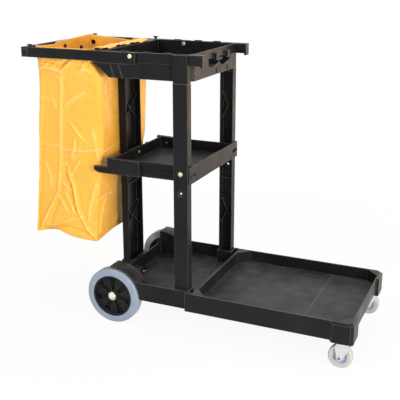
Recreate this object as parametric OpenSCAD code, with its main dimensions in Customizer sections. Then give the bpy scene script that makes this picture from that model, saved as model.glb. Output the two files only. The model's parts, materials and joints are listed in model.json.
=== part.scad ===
// Janitor cart with a bag frame, three ribbed columns, a middle shelf and a load platform.
// Millimetres. +X points to the load platform, +Y to the left side, +Z up.
// The origin is the middle of the footprint, on the floor.

/* [Rear wheels] */
// Diameter of a rear wheel
wheel_d = 203; // [160:1:240]
// Width of a rear tyre
tyre_w = 42; // [30:1:52]
// Diameter where the tyre sits on the hub
hub_d = 152; // [110:1:156]
// How far the outer face of a rear tyre stands out past the side of the base tray
wheel_stand = 8; // [4:0.5:14]
// Room between a rear tyre and the inner wall of its well
well_side = 22; // [18:1:28]
// Distance from the base tray's rear wall forward to the rear axle
axle_set = 10; // [6:0.5:14]
// Diameter of the rear axle
axle_d = 12; // [8:0.5:16]
// Number of fan spokes in a hub
spokes = 7; // [5:1:9]
// Outer diameter of the bush between hub and axle
bush_d = 19; // [17:0.5:24]
// Diameter of the washers on the axle
washer_d = 30; // [26:1:36]
// Diameter of the domed axle cap
cap_d = 27; // [22:1:34]

/* [Casters] */
// Diameter of a caster wheel
caster_d = 80; // [60:1:82]
// Width of a caster wheel
caster_w = 26; // [20:1:32]
// Height of the caster from the floor to the top of its plate
caster_h = 98; // [96:0.5:102]
// Distance from the swivel axis back to the caster axle
caster_trail = 12; // [8:1:20]
// Distance from the platform's end rim back to the swivel axes
caster_set_x = 22; // [20:1:26]
// Distance from the platform's side in to the swivel axes
caster_set_y = 21; // [20:1:24]
// Side of the square caster plate
plate_w = 48; // [44:1:50]
// Thickness of the caster plate
plate_t = 3; // [2:0.5:4]
// Thickness of the fork sheet
fork_t = 2.5; // [2:0.1:3]
// Diameter of the caster axle bolt
caster_axle_d = 8; // [6:0.5:10]
// Diameter of the kingpin
kingpin_d = 10; // [8:0.5:12]

/* [Base tray] */
// Width of the base tray
base_w = 454; // [430:1:500]
// Place of the rear wall's outer face along the cart
base_rear = -273; // [-300:1:-262]
// Height of the base tray's rim above the floor
base_rim = 167; // [158:1:176]
// Height of the base tray's lower edge above the floor
base_low = 103; // [98:1:106]
// Height of the base tray's floor, top face
base_floor = 116; // [114:0.5:118]
// Wall thickness of the big mouldings
wall = 4; // [3:0.25:5]
// Gap between the tyre and the fender
fender_gap = 5.5; // [4:0.5:8]
// Length of the tongue that reaches under the platform
tongue_l = 120; // [80:5:150]
// Length of the window that shows the axle in the tray's rear corner
axle_window = 40; // [20:1:60]

/* [Platform] */
// Place of the platform's rear wall along the cart
plat_x0 = 43; // [40:1:60]
// Place of the platform's end rim along the cart
plat_x1 = 594; // [560:1:640]
// Thickness of the platform's side walls and cheeks
cheek_t = 4.5; // [3.5:0.25:6]
// Height of the platform's rim above the floor
plat_rim = 164; // [155:1:172]
// Height of the platform's lower edge above the floor
plat_low = 97; // [94:1:100]
// Height of the end wall's lower edge
plat_end_low = 112; // [104:1:116]
// Chamfer of the inner corners of the platform tray
plat_chamfer = 42; // [30:1:50]
// Length of the side cheeks that lap over the base tray
cheek_l = 23; // [15:1:30]
// How far the corner bumpers stand out past the rim
bumper_out = 8; // [6:0.5:10]
// Height of the lower edge of the corner bumpers
bumper_low = 93; // [91:0.5:94]
// Length of a corner bumper along each side
bumper_l = 76; // [72:1:84]

/* [Columns] */
// Width of a front column along the cart
col_w = 52; // [46:1:60]
// Depth of a front column across the cart
col_d = 30; // [26:1:34]
// Gap between the front columns and the platform's rear wall
col_gap = 16.5; // [12:0.5:24]
// How far the outer face of a front column stands in from the side of the base tray
col_set = 12; // [6:0.5:18]
// Depth of the rear column along the cart
rear_d = 28; // [24:1:32]
// Width of the rear column across the cart
rear_w = 110; // [96:1:122]
// Wall thickness of the columns
col_t = 3.5; // [3:0.25:4.5]
// Height of a pair of crossed ribs
cross_h = 92; // [60:1:120]
// How far the ribs stand up from a column's web
rib_up = 11; // [6:1:16]
// Thickness of the column ribs
rib_t = 3; // [2:0.25:4]

/* [Middle shelf] */
// How far the shelf reaches in front of the front columns
shelf_front = 8; // [4:0.5:12]
// Height of the shelf's rim
shelf_rim = 597; // [550:1:640]
// Height of the shelf's walls
shelf_h = 54; // [48:1:64]
// Depth of the shelf bolt below the shelf's rim
shelf_bolt_drop = 20; // [12:0.5:26]
// Height of the spare hole below the shelf bolt
spare_drop = 67; // [40:1:100]
// Reach of a shelf arm behind the shelf
arm_reach = 68; // [50:1:70]
// Length of a shelf arm along the shelf's side
arm_front = 109; // [90:1:140]
// Length of a shelf arm's tall part behind the shelf
arm_back = 15; // [10:1:25]

/* [Top tray] */
// How far the tray reaches in front of the front columns
tray_front = 8; // [4:0.5:14]
// Height of the tray's rim
tray_rim = 967; // [930:1:1000]
// Depth of the tray from rim to underside
tray_h = 87; // [80:1:100]
// How far the rail stands out from the tray's bin
rail_step = 6.5; // [5:0.25:9]
// Height of the rail round the tray
rail_h = 34; // [28:1:40]
// How far the outer face of the rail stands in from the outer faces of the front columns
rail_set = 6.5; // [5:0.25:9]
// Length of the handle ends past the tray
handle_l = 42; // [30:1:60]
// Chamfer of the tray's front corners
tray_chamfer = 30; // [20:1:34]
// Width of a tool notch
notch_w = 94; // [70:1:104]
// Height of a tool notch from its top to its lowest point
notch_h = 37; // [30:1:44]
// How far the middle of the tool notches lies to the left of the middle of the cart
notch_mid = 34; // [0:1:40]

/* [Bag and frame] */
// Place of the frame's rear face along the cart
frame_x0 = -602; // [-650:1:-590]
// Height of a frame arm
frame_h = 38; // [30:1:44]
// Thickness of a frame arm
frame_t = 10; // [8:0.5:13]
// Length of the lap of an arm on the tray rail
lap_l = 127; // [110:1:140]
// Height of the bag's bottom above the floor
bag_low = 274; // [200:1:340]
// Thickness of the bag's wall in this model
bag_t = 3; // [2.5:0.25:5]
// Length of the bag's bottom compared with its mouth
bag_taper_x = 0.98; // [0.85:0.01:0.99]
// Width of the bag's bottom compared with its mouth
bag_taper_y = 0.83; // [0.75:0.01:0.84]
// Radius of the bag's upright corners
bag_corner = 64; // [60:1:90]
// How far the bag's hem stands above the frame
hem_h = 8; // [4:1:12]

/* [Fasteners and fits] */
// Diameter of the long bolts
bolt_d = 8; // [6:0.5:9]
// Diameter of a bolt's round head
head_d = 15; // [13:0.5:18]
// Diameter of the small screws
screw_d = 4; // [3:0.25:4.5]
// Running clearance on a radius
run_fit = 0.05; // [0.02:0.01:0.08]
// Gap between mouldings that fit into each other
fit_gap = 0.5; // [0.4:0.1:0.8]
// Gap between faces of pieces that turn past each other
turn_gap = 0.3; // [0.3:0.05:0.6]

/* [Hidden] */
$fn = 64;

BLACK = [0.09, 0.09, 0.10];
GREY_TYRE = [0.55, 0.62, 0.70];
PALE_TYRE = [0.74, 0.76, 0.72];
STEEL = [0.78, 0.78, 0.76];
BRASS = [0.85, 0.76, 0.58];
YELLOW = [0.97, 0.72, 0.18];

EPS = 0.01;
CUT = 1;

// Rear axle line, from the middle outwards
axle_x = base_rear + axle_set;
axle_z = wheel_d / 2;
wheel_face = base_w / 2 + wheel_stand;
tyre_in = wheel_face - tyre_w;
fender_in = tyre_in - well_side - wall;
well_r = wheel_d / 2 + fender_gap;
fender_r = well_r + wall;
plate_out = fender_in + wall;
boss_out = plate_out + 10;
hanger_y = fender_in / 3;
hanger_t = 6;
hanger_w = axle_d + 16;
window_room = 12;
washer_t = 2;
hub_in = boss_out + washer_t + turn_gap;
hub_out = wheel_face - 2;
cap_in = hub_out + turn_gap + washer_t;
cap_h = 8;
rim_t = 6;
hub_boss_r = bush_d / 2 + 9;
bush_wall = (bush_d - axle_d) / 2 - run_fit;

// Caster stack, from the floor up
plat_w = base_w + 2 * (cheek_t + fit_gap);
caster_x = plat_x1 - caster_set_x;
caster_y = plat_w / 2 - caster_set_y;
fork_gap = caster_w + 6;
crown_z = caster_d + 4;
race_z = crown_z + fork_t;
plate_z = caster_h - plate_t;
race_mid = (race_z + plate_z) / 2;
race_r = 19;
crown_r = 28;
nut_h = 6;
plate_grip = 14;
plate_r = 10;
plate_room = 1.5;
bumper_cut = 10;

// Base, platform and columns
base_under = base_floor - wall;
plat_floor = base_floor + wall;
rear_wall_t = 8;
rear_wall_grip = 16;
plat_rear_in = plat_x0 + rear_wall_t;
col_x = plat_x0 - col_gap - col_w / 2;
col_front = col_x + col_w / 2;
col_out = base_w / 2 - col_set;
col_in = col_out - col_d;
col_low = base_floor;
foot_t = 10;
cross_at = [0.28, 0.82];
brace_at = 0.45;
head_sink = 1.5;
spare_l = 7.5;
rear_front = base_rear - 14;
rear_back = rear_front - rear_d;
shelf_x0 = base_rear;
shelf_x1 = col_front + turn_gap;
shelf_front_x1 = col_front + shelf_front;
shelf_front_up = 4;
shelf_half = col_in - turn_gap;
shelf_low = shelf_rim - shelf_h;
shelf_bolt_z = shelf_rim - shelf_bolt_drop;
spare_z = shelf_bolt_z - spare_drop;
shelf_under = shelf_low + 8;
shelf_floor = shelf_under + wall;
slot_w = 44;
slot_h = 12;
slot_y = col_out - 3 - slot_w / 2;
slot_low = shelf_rim - 33;
arm_low = shelf_low + 1;
arm_t = 12;
tongue_h = 22;

// Top tray and frame
tray_low = tray_rim - tray_h;
tray_x0 = rear_front + turn_gap;
tray_x1 = col_front + tray_front;
rail_out = col_out - rail_set;
tray_half = rail_out - rail_step;
rail_low = tray_rim - rail_h;
leg_low = tray_low - 5;
leg_t = 8;
handle_w = 28;
lip_t = 8;
lip_drop = 7;
pad_l = 28;
horn_w = 20;
horn_out = 10;
notch_gap = 4;
notch_top = tray_rim - 27;
flange_x0 = rear_back - fit_gap - 6;
tray_bolt_z = tray_low + 44;
front_flat = tray_half - tray_chamfer;
col_rise = leg_low - col_low;
rear_top = tray_rim - wall - turn_gap;
arm_in = rail_out + turn_gap;
arm_out = arm_in + frame_t;
frame_low = tray_rim - frame_h;
lap_x1 = flange_x0 + 36 + lap_l;
frame_bolt_x = lap_x1 - 17;
frame_bolt_z = tray_rim - 12;
gusset_x = tray_x0 + 30;
gusset_l = 60;
gusset_run = 44;
gusset_tip = rear_back;
gusset_low = tray_low + 2;
rear_slope_h = 28;
rear_slope = rear_slope_h / (gusset_x - tray_x0);
slope_wall = 1.4 * wall;
gusset_lip = [12, 6.5];
gusset_top = frame_low - turn_gap;
gusset_rib_t = 2.5;
hook_x = [frame_x0 + 34, flange_x0 + 20];
bar_x1 = flange_x0 - fit_gap;
bar_t = 12;
bar_x0 = bar_x1 - bar_t;
rear_bar_t = 14;
bag_x0 = frame_x0 + rear_bar_t + turn_gap;
bag_x1 = bar_x0 - turn_gap;
bag_half = arm_in - turn_gap;
bag_top = tray_rim + hem_h;
grommet_d = 16;
grommet_t = 2;

// Fasteners
bolt_bore = bolt_d + 2 * run_fit;
screw_bore = screw_d + 2 * run_fit;
screw_head = 2 * screw_d;
boss_d = bolt_d + 10;
head_h = 4.5;
long_nut_h = 6.5;
nut_d = head_d - 1;
end_l = 2;
small_head_d = 11;
small_head_h = 3;

// Copies to the left as drawn, or mirrored to the right
module side(s) {
  if (s > 0) children();
  else mirror([0, 1, 0]) children();
}

module both_sides() {
  for (s = [-1, 1]) side(s) children();
}

// Cylinder along +Y or along +X from the given place
module rod_y(d, h) { rotate([-90, 0, 0]) cylinder(d = d, h = h); }
module rod_x(d, h) { rotate([0, 90, 0]) cylinder(d = d, h = h); }

// Box from one corner to the other
module span(a, b) { translate(a) cube(b - a); }

// Rectangle with round corners, from corner a to corner b
module round_rect(a, b, r) {
  translate([a.x + r, a.y]) square([b.x - a.x - 2 * r, b.y - a.y]);
  translate([a.x, a.y + r]) square([b.x - a.x, b.y - a.y - 2 * r]);
  for (x = [a.x + r, b.x - r], y = [a.y + r, b.y - r]) translate([x, y]) circle(r = r);
}

// Rectangle with chamfered corners: c0 at the low X end, c1 at the high X end
module chamfer_rect(a, b, c0, c1) {
  polygon([[a.x + c0, a.y], [b.x - c1, a.y], [b.x, a.y + c1], [b.x, b.y - c1],
           [b.x - c1, b.y], [a.x + c0, b.y], [a.x, b.y - c0], [a.x, a.y + c0]]);
}

// Flat slab of a plan outline between two heights
module slab(z0, z1) { translate([0, 0, z0]) linear_extrude(z1 - z0) children(); }

// Round-headed bolt along +Y with its head below zero, and the nut that closes it
module bolt(len, d = bolt_d, hd = head_d, hh = head_h) {
  rod_y(d, len);
  translate([0, -hh, 0]) rotate([-90, 0, 0]) rotate_extrude()
    intersection() {
      union() {
        translate([0, hh / 2]) square([hd / 2, hh / 2]);
        translate([0, hh / 2]) circle(r = hh / 2);
        translate([0, 0]) square([hd / 2 - hh / 2, hh]);
        translate([hd / 2 - hh / 2, hh / 2]) circle(r = hh / 2);
      }
      square([hd, hh]);
    }
}

module nut(h = long_nut_h, d = bolt_d, w = nut_d) {
  rotate([-90, 0, 0]) difference() {
    cylinder(d = w / cos(30), h = h, $fn = 6);
    translate([0, 0, -CUT]) cylinder(d = d + 2 * run_fit, h = h + 2 * CUT);
  }
}

// Base tray with quarter fenders, sockets for the columns and hangers for the axle
module base_plan(in) {
  translate([axle_x, -base_w / 2 + in]) square([plat_x0 - axle_x - turn_gap, base_w - 2 * in]);
  translate([base_rear + in, -plate_out + in]) square([axle_x - base_rear + 1, 2 * (plate_out - in)]);
}

module fender_block(r, y0, y1) {
  both_sides() intersection() {
    translate([axle_x, y0, axle_z]) rod_y(2 * r, y1 - y0);
    span([base_rear, y0 - CUT, base_low], [axle_x + r + CUT, y1 + CUT, axle_z + r + CUT]);
  }
}

module front_socket(in) {
  both_sides() translate([col_x - col_w / 2 - fit_gap - wall + in, col_in - fit_gap - wall + in])
    square([col_w + 2 * (fit_gap + wall - in), base_w / 2 - col_in + fit_gap + wall - 2 * in]);
}

module base_tray() {
  color(BLACK) difference() {
    union() {
      difference() {
        union() {
          slab(base_low, base_rim) base_plan(0);
          fender_block(fender_r, fender_in, base_w / 2);
        }
        difference() {
          slab(base_floor, base_rim + CUT) base_plan(wall);
          fender_block(fender_r, fender_in, base_w);
        }
        difference() {
          slab(base_low - CUT, base_under) base_plan(wall);
          fender_block(fender_r, fender_in, base_w);
        }
        span([plat_x0 - wall - turn_gap - CUT, -base_w / 2 + wall, base_floor],
             [plat_x0, base_w / 2 - wall, base_rim + CUT]);
      }
      // Tongue under the platform
      span([plat_x0 - 2 * wall, -fender_in, base_under], [plat_x0 + tongue_l, fender_in, base_floor]);
      // Sockets
      slab(base_under, base_rim) front_socket(0);
      span([rear_back - fit_gap - wall, -rear_w / 2 - fit_gap - wall, base_low],
           [base_rear + EPS, rear_w / 2 + fit_gap + wall, base_rim]);
      // Axle bosses and hangers
      both_sides() {
        translate([axle_x, fender_in, axle_z]) rod_y(axle_d + 20, boss_out - fender_in);
        translate([axle_x, hanger_y, axle_z]) rod_y(hanger_w, hanger_t);
        span([axle_x - hanger_w / 2, hanger_y, axle_z],
             [axle_x + hanger_w / 2, hanger_y + hanger_t, base_under + EPS]);
      }
      // Ribs under the floor
      for (x = [axle_x + well_r + 20 : 40 : plat_x0 - 30])
        span([x, -base_w / 2 + wall, base_low + 2], [x + rib_t, base_w / 2 - wall, base_under + EPS]);
    }
    // Wheel wells
    both_sides() translate([axle_x, plate_out, axle_z]) difference() {
      rod_y(2 * well_r, base_w);
      translate([0, -CUT, 0]) rod_y(axle_d + 20, boss_out - plate_out + CUT);
    }
    // Socket pockets and the space under the rear one
    slab(base_floor, base_rim + CUT) both_sides() translate([col_x - col_w / 2 - fit_gap, col_in - fit_gap])
      square([col_w + 2 * fit_gap, col_d + 2 * fit_gap]);
    span([rear_back - fit_gap, -rear_w / 2 - fit_gap, base_floor],
         [rear_front + fit_gap, rear_w / 2 + fit_gap, base_rim + CUT]);
    span([rear_back - fit_gap, -rear_w / 2 - fit_gap, base_low - CUT],
         [rear_front + fit_gap, rear_w / 2 + fit_gap, base_under]);
    // Axle line and the window over it
    translate([axle_x, -wheel_face, axle_z]) rod_y(axle_d + 2 * run_fit, 2 * wheel_face);
    span([base_rear + wall, -axle_window / 2, base_under - CUT],
         [axle_x + axle_d / 2 + window_room, axle_window / 2, base_floor + CUT]);
    // Holes for the column bolts and the platform screws
    for (p = column_bolt_places())
      translate([p.x, p.y, base_low]) cylinder(d = bolt_bore, h = base_rim);
    for (y = screw_rows()) translate([plat_x0 + rear_wall_t / 2, y, base_low])
      cylinder(d = screw_bore, h = base_floor - base_low + CUT);
  }
}

function column_bolt_places() =
  [for (s = [-1, 1]) [col_x, s * (col_in + col_d / 2)], [(rear_front + rear_back) / 2, 0]];
function screw_rows() = [for (k = [-1.5 : 1 : 1.5]) k * fender_in / 2];

// Load platform: chamfered tray, side cheeks over the base and flared corner bumpers
module plat_bumper() {
  x0 = plat_x1 - bumper_l + bumper_out;
  y0 = plat_w / 2 - bumper_l + bumper_out;
  hull() {
    slab(bumper_low, plat_rim - bumper_out)
      polygon([[x0, y0], [plat_x1 + bumper_out, y0],
               [plat_x1 + bumper_out, plat_w / 2 + bumper_out - bumper_cut],
               [plat_x1 + bumper_out - bumper_cut, plat_w / 2 + bumper_out],
               [x0 + bumper_out, plat_w / 2 + bumper_out], [x0, plat_w / 2]]);
    slab(plat_rim - EPS, plat_rim)
      polygon([[x0, y0], [plat_x1, y0], [plat_x1, plat_w / 2 - bumper_cut],
               [plat_x1 - bumper_cut, plat_w / 2], [x0, plat_w / 2]]);
  }
}

module plat_outside() {
  h = plat_w / 2;
  polygon([[plat_x0, -h], [plat_x1 - bumper_cut, -h], [plat_x1, bumper_cut - h], [plat_x1, h - bumper_cut],
           [plat_x1 - bumper_cut, h], [plat_x0, h]]);
}

module plat_inside() {
  chamfer_rect([plat_rear_in, -base_w / 2], [plat_x1 - wall, base_w / 2], plat_chamfer, plat_chamfer);
}

module platform() {
  bx = plat_x1 - bumper_l + bumper_out;
  by = plat_w / 2 - bumper_l + bumper_out;
  color(BLACK) difference() {
    union() {
      slab(plat_low, plat_rim) plat_outside();
      both_sides() {
        span([plat_x0 - cheek_l, plat_w / 2 - cheek_t, plat_low], [plat_x0 + EPS, plat_w / 2, plat_rim]);
        plat_bumper();
      }
    }
    slab(plat_floor, plat_rim + CUT) plat_inside();
    // Open underside, left between the side walls and round the bumpers
    difference() {
      span([plat_x0 - CUT, -plat_w / 2 + cheek_t, plat_low - CUT],
           [plat_x1 - wall, plat_w / 2 - cheek_t, base_floor]);
      both_sides() span([bx, by, 0], [plat_x1 + CUT, plat_w, base_floor + CUT]);
      for (y = [-1, 0, 1]) translate([0, y * by * 0.55, 0])
        span([plat_x0 + tongue_l + 4, -rib_t / 2, plat_low + 6], [plat_x1, rib_t / 2, base_floor + CUT]);
      for (x = [plat_x0 + tongue_l + 10 : 90 : bx])
        span([x, -plat_w / 2, plat_low + 6], [x + rib_t, plat_w / 2, base_floor + CUT]);
    }
    span([plat_x1 - wall - CUT, -by, plat_low - CUT], [plat_x1 + CUT, by, plat_end_low]);
    // Caster pockets with screw pilots
    both_sides() {
      slab(bumper_low - CUT, caster_h) plate_plan(plate_room);
      for (p = plate_screw_places()) translate([p.x, p.y, caster_h - CUT])
        cylinder(d = screw_bore, h = plate_grip + CUT + turn_gap);
    }
    for (y = screw_rows()) translate([plat_x0 + rear_wall_t / 2, y, base_floor - CUT])
      cylinder(d = screw_bore, h = rear_wall_grip + CUT + turn_gap);
  }
}

module platform_screws() {
  color(STEEL) for (y = screw_rows()) translate([plat_x0 + rear_wall_t / 2, y, base_under])
    rotate([90, 0, 0]) bolt(wall + rear_wall_grip, screw_d, screw_head, screw_head / 3);
}

// Rear axle, its washers and caps
module rear_axle() {
  color(STEEL) translate([axle_x, -cap_in - cap_h / 2, axle_z]) rod_y(axle_d, 2 * cap_in + cap_h);
}

module axle_washers() {
  color(STEEL) both_sides() for (y = [boss_out, hub_out + turn_gap])
    translate([axle_x, y, axle_z]) difference() {
      rod_y(washer_d, washer_t);
      translate([0, -CUT, 0]) rod_y(axle_d + 2 * run_fit, washer_t + 2 * CUT);
    }
}

module axle_caps() {
  color(BRASS) both_sides() translate([axle_x, cap_in, axle_z]) rotate([-90, 0, 0]) difference() {
    union() {
      cylinder(d = cap_d, h = 2);
      intersection() {
        translate([0, 0, cap_h - cap_d / 2 - 2]) sphere(d = cap_d + 4);
        cylinder(d = cap_d - 5, h = cap_h);
      }
    }
    translate([0, 0, -CUT]) cylinder(d = axle_d + 2 * run_fit, h = cap_h / 2 + turn_gap + CUT);
  }
}

// Rear wheel: fan-spoked hub, tyre with round shoulders, bush
module fan_spoke() {
  half = 180 / spokes * 0.52;
  far = hub_d / 2 * [cos(half), sin(half)];
  polygon([[0, 0], [far.x, -far.y], far]);
}

module wheel_hub(s) {
  mid = (tyre_in + wheel_face) / 2;
  color(BLACK) side(s) translate([axle_x, 0, axle_z]) rotate([-90, 0, 0]) difference() {
    union() {
      translate([0, 0, tyre_in + 1]) difference() {
        cylinder(d = hub_d, h = tyre_w - 2);
        translate([0, 0, -CUT]) cylinder(d = hub_d - 2 * rim_t, h = tyre_w);
      }
      translate([0, 0, mid - 3]) cylinder(d = hub_d - EPS, h = 6);
      translate([0, 0, hub_in]) cylinder(r = hub_boss_r, h = hub_out - hub_in);
      intersection() {
        translate([0, 0, mid - 13]) linear_extrude(26)
          for (k = [0 : spokes - 1]) rotate(k * 360 / spokes + 90) fan_spoke();
        translate([0, 0, tyre_in]) cylinder(d = hub_d - rim_t, h = tyre_w);
      }
    }
    translate([0, 0, hub_in - CUT]) cylinder(d = bush_d + 2 * run_fit, h = hub_out - hub_in + 2 * CUT);
  }
}

module tyre_profile(r0, r1, w, shoulder) {
  difference() {
    round_rect([r0 - 2 * shoulder, -w / 2], [r1, w / 2], shoulder);
    translate([r0 - 4 * shoulder, -w]) square([4 * shoulder, 2 * w]);
  }
}

module tyre(s) {
  color(GREY_TYRE) side(s) translate([axle_x, (tyre_in + wheel_face) / 2, axle_z]) rotate([-90, 0, 0])
    rotate_extrude($fn = 96) tyre_profile(hub_d / 2 + run_fit, wheel_d / 2, tyre_w, 9);
}

module wheel_bush(s) {
  color(STEEL) side(s) translate([axle_x, hub_in, axle_z]) difference() {
    rod_y(bush_d, hub_out - hub_in);
    translate([0, -CUT, 0]) rod_y(bush_d - 2 * bush_wall, hub_out - hub_in + 2 * CUT);
  }
}

// Casters
function plate_screw_places() = [for (x = [-1, 1], y = [-1, 1])
  [caster_x + x * (plate_w / 2 - 7), caster_y + y * (plate_w / 2 - 7)]];

module plate_plan(out) {
  r = plate_w / 2 + out;
  round_rect([caster_x - r, caster_y - r], [caster_x + r, caster_y + r], plate_r + out);
}

module caster_plate(s) {
  color(STEEL) side(s) difference() {
    union() {
      slab(plate_z, caster_h) plate_plan(0);
      translate([caster_x, caster_y, race_mid + turn_gap / 2])
        cylinder(r = race_r, h = plate_z - race_mid - turn_gap / 2 + EPS);
    }
    translate([caster_x, caster_y, race_mid - CUT]) cylinder(d = kingpin_d + 2 * run_fit, h = caster_h);
    for (p = plate_screw_places()) translate([p.x, p.y, plate_z - CUT])
      cylinder(d = screw_bore, h = plate_t + 2 * CUT);
  }
}

module caster_screws() {
  color(STEEL) both_sides() for (p = plate_screw_places())
    translate([p.x, p.y, plate_z]) rotate([90, 0, 0])
      bolt(plate_t + plate_grip, screw_d, screw_head, screw_head / 3);
}

module kingpin(s) {
  color(STEEL) side(s) translate([caster_x, caster_y, 0]) {
    translate([0, 0, crown_z - turn_gap - 3]) cylinder(d = kingpin_d + 8, h = 3);
    translate([0, 0, crown_z - turn_gap - EPS])
      cylinder(d = kingpin_d, h = caster_h - crown_z + turn_gap + EPS);
  }
}

module caster_race(s) {
  color(STEEL) side(s) translate([caster_x, caster_y, race_z]) difference() {
    cylinder(r = race_r + 2, h = race_mid - turn_gap / 2 - race_z);
    translate([0, 0, -CUT]) cylinder(d = kingpin_d + 2 * run_fit, h = caster_h);
  }
}

module fork_leg() {
  tip = caster_axle_d / 2 + 6;
  top = crown_r * 0.82;
  polygon([[-top, crown_z + fork_t], [top, crown_z + fork_t], [top, crown_z - 3],
           [-caster_trail + tip * 0.8, caster_d / 2 - tip * 0.6],
           [-caster_trail - tip * 0.95, caster_d / 2 - tip * 0.3], [-top - 6, crown_z - 10]]);
  translate([-caster_trail, caster_d / 2]) circle(r = tip);
}

module caster_fork(s) {
  color(STEEL) side(s) translate([caster_x, caster_y, 0]) difference() {
    union() {
      translate([0, 0, crown_z]) intersection() {
        cylinder(r = crown_r, h = fork_t);
        span([-crown_r, -fork_gap / 2 - fork_t, -CUT], [crown_r, fork_gap / 2 + fork_t, fork_t + CUT]);
      }
      for (y = [-fork_gap / 2 - fork_t, fork_gap / 2]) translate([0, y + fork_t, 0])
        rotate([90, 0, 0]) linear_extrude(fork_t) fork_leg();
    }
    translate([0, 0, crown_z - CUT]) cylinder(d = kingpin_d + 2 * run_fit, h = fork_t + 2 * CUT);
    translate([-caster_trail, -fork_gap, caster_d / 2]) rod_y(caster_axle_d + 2 * run_fit, 2 * fork_gap);
  }
}

module at_caster_axle(s) {
  side(s) translate([caster_x - caster_trail, caster_y, caster_d / 2]) rotate([-90, 0, 0]) children();
}

module caster_core(s) {
  core_r = caster_d / 2 - 13;
  hub_l = fork_gap - 2 * 0.4;
  color([0.80, 0.80, 0.86]) at_caster_axle(s) rotate_extrude() difference() {
    union() {
      translate([0, -hub_l / 2]) square([caster_axle_d / 2 + 5, hub_l]);
      translate([0, -caster_w / 2 + 6]) square([core_r, caster_w - 12]);
      translate([core_r - 5, -caster_w / 2 + 1]) square([5, caster_w - 2]);
    }
    translate([-CUT, -fork_gap]) square([CUT + caster_axle_d / 2 + run_fit, 2 * fork_gap]);
  }
}

module caster_tyre(s) {
  color(PALE_TYRE) at_caster_axle(s) rotate_extrude()
    tyre_profile(caster_d / 2 - 13 + run_fit, caster_d / 2, caster_w, 6);
}

module caster_axle(s) {
  color(STEEL) side(s) translate([caster_x - caster_trail, caster_y - fork_gap / 2 - fork_t, caster_d / 2])
    bolt(fork_gap + 2 * fork_t + nut_h + 2, caster_axle_d, caster_axle_d + 6, 4);
}

module caster_nut(s) {
  color(STEEL) side(s) translate([caster_x - caster_trail, caster_y + fork_gap / 2 + fork_t, caster_d / 2])
    nut(nut_h, caster_axle_d, caster_axle_d + 5);
}

// Ribbed channel, open face towards +Y at y = depth: a web, two flanges, a foot, a head, two pairs of
// crossed ribs and a brace on the web. The drawing plane is X (width) by Z (height).
module crossed_ribs(w) {
  a = atan2(cross_h, w);
  intersection() {
    square([w, cross_h], center = true);
    for (m = [-1, 1]) rotate(m * a) square([2 * cross_h, rib_t], center = true);
  }
}

module channel(w, d, z0, z1) {
  inner = w - 2 * col_t + 2 * EPS;
  span([-w / 2, 0, z0], [w / 2, col_t, z1]);
  for (x = [-w / 2, w / 2 - col_t]) span([x, 0, z0], [x + col_t, d, z1]);
  for (z = [z0, z1 - foot_t]) span([-w / 2, 0, z], [w / 2, d, z + foot_t]);
  for (k = cross_at) translate([0, col_t + rib_up, col_low + k * col_rise]) rotate([90, 0, 0])
    linear_extrude(rib_up + EPS) crossed_ribs(inner);
  translate([0, 0, col_low + brace_at * col_rise])
    span([-inner / 2, 0, -rib_t / 2], [inner / 2, col_t + rib_up, rib_t / 2]);
}

// Front column: web outside, open face inwards, bosses for the shelf bolt and the spare hole
module front_column(s) {
  color(BLACK) side(s) difference() {
    translate([col_x, col_out, 0]) mirror([0, 1, 0]) difference() {
      union() {
        channel(col_w, col_d, col_low, leg_low);
        translate([0, 0, shelf_bolt_z]) rod_y(boss_d, col_d);
        translate([0, 0, spare_z]) rod_y(boss_d, spare_l);
      }
      for (z = [shelf_bolt_z, spare_z]) translate([0, -CUT, z]) {
        rod_y(bolt_bore, col_d + 2 * CUT);
        rod_y(head_d + 6, head_sink + CUT);
      }
    }
    for (z = [col_low, leg_low - foot_t]) translate([col_x, col_in + col_d / 2, z - CUT])
      cylinder(d = bolt_bore, h = foot_t + 2 * CUT);
  }
}

// Rear column: web at the back, open face towards the platform
function cross_bolt_heights() = [shelf_bolt_z, tray_bolt_z];

module rear_column() {
  color(BLACK) difference() {
    translate([rear_back, 0, 0]) rotate([0, 0, -90]) difference() {
      union() {
        channel(rear_w, rear_d, col_low, rear_top);
        for (z = cross_bolt_heights()) translate([0, 0, z]) rod_y(boss_d, rear_d);
      }
      for (z = cross_bolt_heights()) translate([0, -CUT, z]) rod_y(bolt_bore, rear_d + 2 * CUT);
    }
    translate([(rear_front + rear_back) / 2, 0, col_low - CUT])
      cylinder(d = bolt_bore, h = foot_t + 2 * CUT);
  }
}

// Bolts up through the sockets into the feet of the columns, which hold their threads
module column_bolts() {
  color(STEEL) for (p = column_bolt_places())
    translate([p.x, p.y, base_under]) rotate([90, 0, 0]) bolt(wall + foot_t - end_l);
}

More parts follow.
